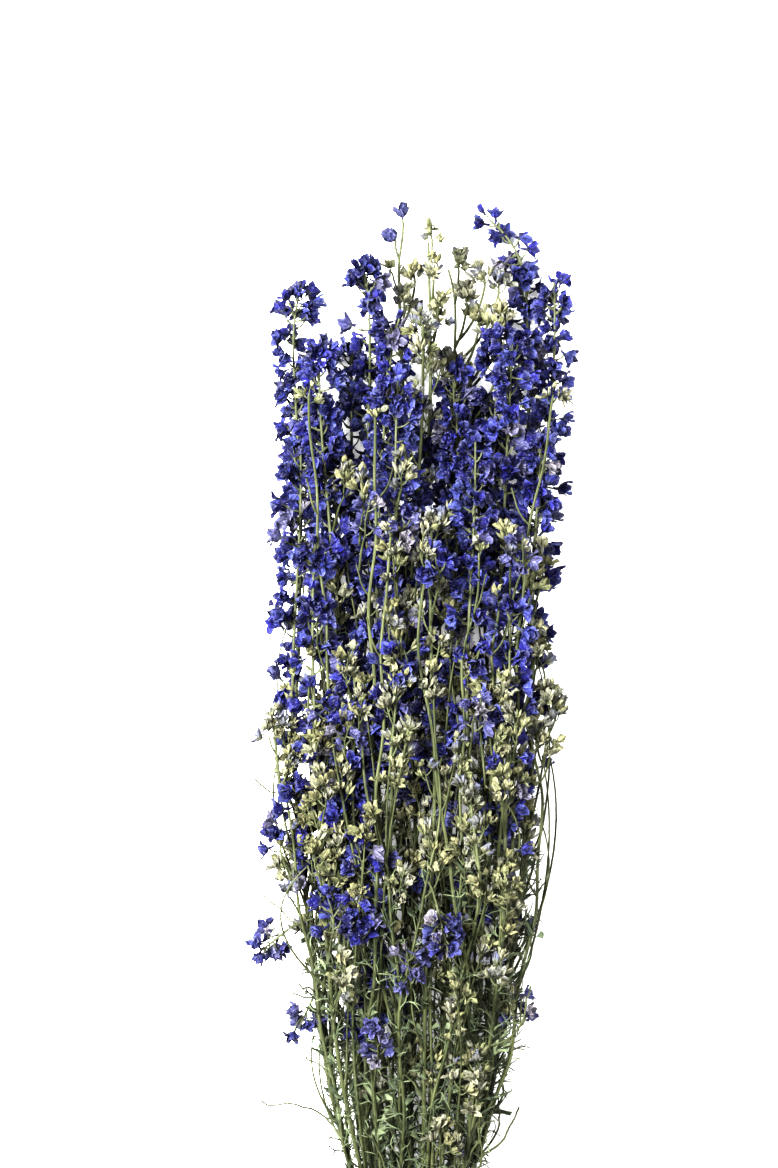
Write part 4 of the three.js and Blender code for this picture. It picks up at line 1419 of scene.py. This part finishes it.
ROUND_BUD_OFFSETS = [(0, -3, 0), (-4, -19, 4)]  # from the leaning tip
ROUND_BUD_HEADINGS = [(0.1, 0.8, 0.55), (-0.6, 0.7, 0.15)]
ROUND_BUD_LENGTH = 8.4
ROUND_BUD_RADIUS = 3.9
ROUND_BUD_RINGS = [
    Ring(6, 0.2, 9.4, 7.2, 0.85, 0.6, 0.6, 3),
    Ring(4, 0.9, 9.0, 5.8, 0.5, 0.4, 0.6, 3),
]
ROUND_BUD_TONES = {"tint": 0.95, "fade": 0.5, "tone": 0.15}


def bare_topped_lines(line, dice):
    """A pale spike whose top is bare but for a round bud at its end and one on a side stalk."""
    lean_from = len(line) - 1 - BARE_STEPS
    line = [point + BARE_TOP_LEAN * smooth((i - lean_from) / BARE_STEPS) for i, point in enumerate(line)]
    lines = cream_spike_lines(line, dice, BARE_STEPS)
    root, end = line[-BARE_STEPS], line[-1] + np.array(ROUND_BUD_OFFSETS[1])
    side_stalk = bezier(root, root + np.array([-3, 7, 1]), end, 6)
    return [*lines, rod(side_stalk, 0.9, 0.8)]


def make_round_buds():
    """Two round buds, half shut, of blue-grey petals that wrap one another."""
    dice = random.Random(ROUND_BUD_SEED)
    shape = Shape()
    tip = stem_point(ROUND_BUDS_STEM, STEMS[ROUND_BUDS_STEM].tip[1]) + BARE_TOP_LEAN
    for offset, towards in zip(ROUND_BUD_OFFSETS, ROUND_BUD_HEADINGS):
        base = tip + offset
        heading = unit(np.array(towards))
        body = husk(ROUND_BUD_LENGTH, ROUND_BUD_RADIUS, 8, dice)
        shape.add(body, placing(base, heading, (0, 0, 1)))
        for ring in ROUND_BUD_RINGS:
            add_ring(shape, base, heading, ring, dice)
    for key, value in ROUND_BUD_TONES.items():
        shape.values[key] = [value] * len(shape.points)
    piece = shape.make("round_buds", ROW_ORIGIN)
    piece.data.materials.append(BLUE)
    bpy.context.scene.collection.objects.link(piece)
    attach(piece, "root")


SPIKE_LINES = {"blue": blue_spike_lines, "cream": cream_spike_lines}
OWN_LINES = {
    ROUND_BUDS_STEM: bare_topped_lines,
    HOOKED_STEM: partial(blue_spike_lines, loose=LOOSE_STEPS),
    DENSE_STEM: partial(blue_spike_lines, loose_share=0),
    **{index: partial(cream_spike_lines, bare=CLEAR_STEPS) for index in CLEAR_TOPPED_STEMS},
}
SHOOT_LINES = {"blue": blue_shoot_lines, "cream": cream_spike_lines}


# ---- The tie ----


def outline_round_stems(distance):
    """The outline that twine pulled tight takes at a distance from the stems' middles, as points [x, z]."""
    outline = []
    for k in range(OUTLINE_SIDES):
        turn = (k + 0.5) / OUTLINE_SIDES * 2 * math.pi
        towards = np.array([math.cos(turn), math.sin(turn)])
        outline.append(max(SEATS, key=lambda seat: seat @ towards) + distance * towards)
    return outline


STRANDS = 3
STRAND_RADIUS = 0.62
TWIST = 8.5  # along the twine, for one whole twist
TWINE_STEP = 1.4


def twine_strands(path):
    """Strands that twist round a path of points close together."""
    path = np.asarray(path, float)
    steps = np.linalg.norm(np.diff(path, axis=0), axis=1)
    lengths = np.concatenate([[0], np.cumsum(steps)])
    points = np.linspace(0, lengths[-1], round(lengths[-1] / TWINE_STEP))
    middle = np.column_stack([np.interp(points, lengths, path[:, i]) for i in range(3)])
    heading = np.gradient(middle, axis=0)
    heading /= np.linalg.norm(heading, axis=1)[:, None]
    side = np.cross(heading, (0.05, 1.0, 0.08))
    side /= np.linalg.norm(side, axis=1)[:, None]
    up = np.cross(side, heading)
    for k in range(STRANDS):
        turn = (2 * math.pi * (points / TWIST + k / STRANDS))[:, None]
        strand = middle + (np.cos(turn) * side + np.sin(turn) * up) * (TWINE / 2 - STRAND_RADIUS)
        yield Line(list(strand), STRAND_RADIUS)


KNOT_SIZE = 1.35
KNOT_STEPS = 44


def knot_path(x, y, z):
    """A knot with two short ends, as points close together."""
    loop = []
    for i in range(KNOT_STEPS):
        t = 2 * math.pi * (i + 0.5) / KNOT_STEPS
        across = (math.sin(t) + 2 * math.sin(2 * t)) * KNOT_SIZE
        along = (math.cos(t) - 2 * math.cos(2 * t)) * KNOT_SIZE
        loop.append(np.array([x + across, y + along, z - math.sin(3 * t) * KNOT_SIZE]))
    first, last = loop[0], loop[-1]
    left_end = bezier(first + np.array([-14, 9, 1]), first + np.array([-8, -2, 5]), first, 12)
    right_end = bezier(last, last + np.array([7, -3, 6]), last + np.array([13, 6, 2]), 12)
    return [*left_end[:-1], *loop, *right_end[1:]]


def make_tie():
    outline = outline_round_stems(STEM_RADIUS_CUT + GAP + TWINE / 2)
    turn = []
    low = TIE_Y - TWINE_TURNS * TWINE / 2 + TWINE / 2
    for i in range((TWINE_TURNS - 1) * OUTLINE_SIDES + 1):
        x, z = outline[i % OUTLINE_SIDES]
        turn.append((x, low + TWINE * i / OUTLINE_SIDES, TIE_Z + z))
    top = TIE_Z + max(z for _, z in outline)
    knot = knot_path(0, TIE_Y, top + TWINE)
    strands = [*twine_strands(turn), *twine_strands(knot)]
    grow("twine_wrap", strands, "jute", TWINE_GROWTH, ["twine_tie"])


# ---- Making it ----


def plan_stem(index, green, blooms):
    """Adds a stem with its leaves, forks, branches, old whorls and stray threads."""
    line = stem_line(index, cut_y(index), spike_base_y(index))
    green.append(rod(line, STEM_RADIUS_CUT, STEM_RADIUS_TOP))
    green.extend(leaf_axes(index))
    add_forks(index, green, blooms)
    add_branches(index, green, blooms)
    add_whorls(index, blooms)
    add_strays(index, green)


def plan_growth():
    """Each stem's green lines, the loose clusters' axes by kind and layer, and the pale clusters' lines."""
    greens = [[] for _ in STEMS]
    blooms = defaultdict(list)
    for index, green in enumerate(greens):
        plan_stem(index, green, blooms)
    for shoot in SHOOTS:
        line = shoot_line(shoot)
        greens[shoot.parent].append(rod(line, FORK_RADIUS, FORK_RADIUS * 0.8))
    for index, low, high, out in SIDE_ARCS:
        line = arc_line(index, low, high, out)
        greens[index].append(rod(line, ARC_RADIUS, ARC_RADIUS * 0.5))
    for index, low, high in CROWDED_STRETCHES:
        blooms["crowded", STEMS[index].layer].append(stem_line(index, low, high))
    pale = []
    dice = random.Random(TOP_SEED)
    for x, y in TOP_CLUSTERS:
        add_top_cluster(x, y, greens, pale, dice)
    dice = random.Random(STALK_SEED)
    for places in FRONT_STALKS:
        add_front_stalk(places, greens, blooms, dice)
    dice = random.Random(FRONT_SEED)
    for kind, places in FRONT_CLUSTERS.items():
        for x, y in places:
            add_front_cluster(x, y, kind, greens, blooms, dice)
    return greens, blooms, pale


def grow_stems(greens):
    for index, stem in enumerate(STEMS):
        number = f"{index + 1:02d}"
        grow(f"leafy_stem_{number}", greens[index], "green", STEM_GROWTH + index, [f"stem_{number}"])
        line = stem_line(index, spike_base_y(index) - 1, stem.tip[1])
        make_lines = OWN_LINES.get(index, SPIKE_LINES[stem.kind])
        lines = make_lines(line, random.Random(index + SPIKE_SEED))
        node = f"spike_{number}_{stem.kind}"
        grow(f"flower_{node}", lines, stem.kind, SPIKE_GROWTH + index, [node])


def grow_side_spikes():
    for k, shoot in enumerate(SHOOTS):
        base, tip = np.array(shoot.base, float), np.array(shoot.tip, float)
        line = [lerp(base, tip, i / SIDE_SPIKE_STEPS) for i in range(SIDE_SPIKE_STEPS + 1)]
        lines = SHOOT_LINES[shoot.kind](line, random.Random(k + SIDE_SPIKE_SEED))
        node = f"side_spike_{k + 1}_{shoot.kind}"
        grow(f"flower_{node}", lines, shoot.kind, SIDE_SPIKE_GROWTH + k, [node])


# The look of each kind of loose cluster, and the size, fading and spacing of what it bears.
CLUSTER_LOOKS = {
    "bud": ("cream", {"size": 1.07, "spacing": 0.82}),
    "lilac": ("blue", {"size": 0.9, "fade": 0.56}),
    "blue": ("blue", {"size": 1.06, "spacing": 0.8}),
    "crowded": ("blue", {"size": 1.06, "spacing": 1.35}),
}
HIDDEN_SPACING = 1.35


def grow_clusters(blooms, pale):
    for (kind, layer), axes in sorted(blooms.items()):
        look, values = CLUSTER_LOOKS[kind]
        if kind == "bud" and layer < 2:
            values = {**values, "spacing": values["spacing"] * HIDDEN_SPACING}
        lines = [Line(axis, bears=1, **values) for axis in axes]
        grow(f"twig_{kind}_clusters_{layer + 1}", lines, look, CLUSTER_GROWTH + layer)
    grow("twig_pale_clusters", pale, "cream", PALE_GROWTH)


make_camera()
make_floor()
make_studio()

GROWTH = growth_tree()
BLUE, CREAM = petal_material(), bud_material()
GREEN, JUTE = stem_material(), twine_material()

OPEN_FLORETS, CLOSED_FLORETS = 16, 5
FLORETS = collect(
    "floret",
    [open_floret(i) for i in range(OPEN_FLORETS)] + [closed_floret(i) for i in range(CLOSED_FLORETS)],
)
OPEN_BUDS, PODS, CLOSED_BUDS = 9, 2, 5
BUDS = collect(
    "bud",
    [open_bud(i) for i in range(OPEN_BUDS)]
    + [seed_pods(i) for i in range(PODS)]
    + [closed_bud(i) for i in range(CLOSED_BUDS)],
)
THREAD_LEAVES, LOBED_LEAVES = 16, 4
LEAVES = collect(
    "leaf",
    [thread_leaf(i) for i in range(THREAD_LEAVES)] + [lobed_leaf(i) for i in range(LOBED_LEAVES)],
)

FLORET_SIZES = {
    "Shapes": FLORETS,
    "Sides": 6,
    "Pitch": 2.95 * MM,
    "Turn": GOLDEN_ANGLE,
    "Tilt": 0.05,
    "Tip Tilt": 0.5,
    "Tilt Spread": 0.4,
    "Tip Size": 0.95,
    "Size Spread": 0.14,
    "Fade Spread": 1.0,
    "Open Forms": OPEN_FLORETS,
    "Closed Forms": CLOSED_FLORETS,
    "Closed From": 0.97,
    "Bare Front": 0.55,
}
BUD_SIZES = {
    **FLORET_SIZES,
    "Shapes": BUDS,
    "Pitch": 3.4 * MM,
    "Tilt": 0.1,
    "Tip Tilt": 0.9,
    "Tilt Spread": 0.45,
    "Size Spread": 0.2,
    "Open Forms": OPEN_BUDS + PODS,
    "Closed Forms": CLOSED_BUDS,
    "Closed From": 0.9,
    "Bare Front": 0.0,
}
LEAF_SIZES = {
    **FLORET_SIZES,
    "Shapes": LEAVES,
    "Pitch": 5.6 * MM,
    "Tilt": 0.42,
    "Tilt Spread": 0.42,
    "Tip Tilt": 0.0,
    "Tip Size": 0.9,
    "Size Spread": 0.25,
    "Open Forms": THREAD_LEAVES + LOBED_LEAVES,
    "Closed From": 2.0,  # past the tip, so that leaves have only the first forms
    "Bare Front": 0.0,
}
LOOKS = {
    "blue": (BLUE, "blue_petals", FLORET_SIZES),
    "cream": (CREAM, "cream_buds", BUD_SIZES),
    "green": (GREEN, "green_stem", LEAF_SIZES),
    "jute": (JUTE, "twine", LEAF_SIZES),
}

greens, blooms, pale = plan_growth()
grow_stems(greens)
grow_side_spikes()
grow_clusters(blooms, pale)
make_round_buds()
make_tie()

for collection in (FLORETS, BUDS, LEAVES):
    for shape in list(collection.objects):
        bpy.data.objects.remove(shape)
    bpy.data.collections.remove(collection)
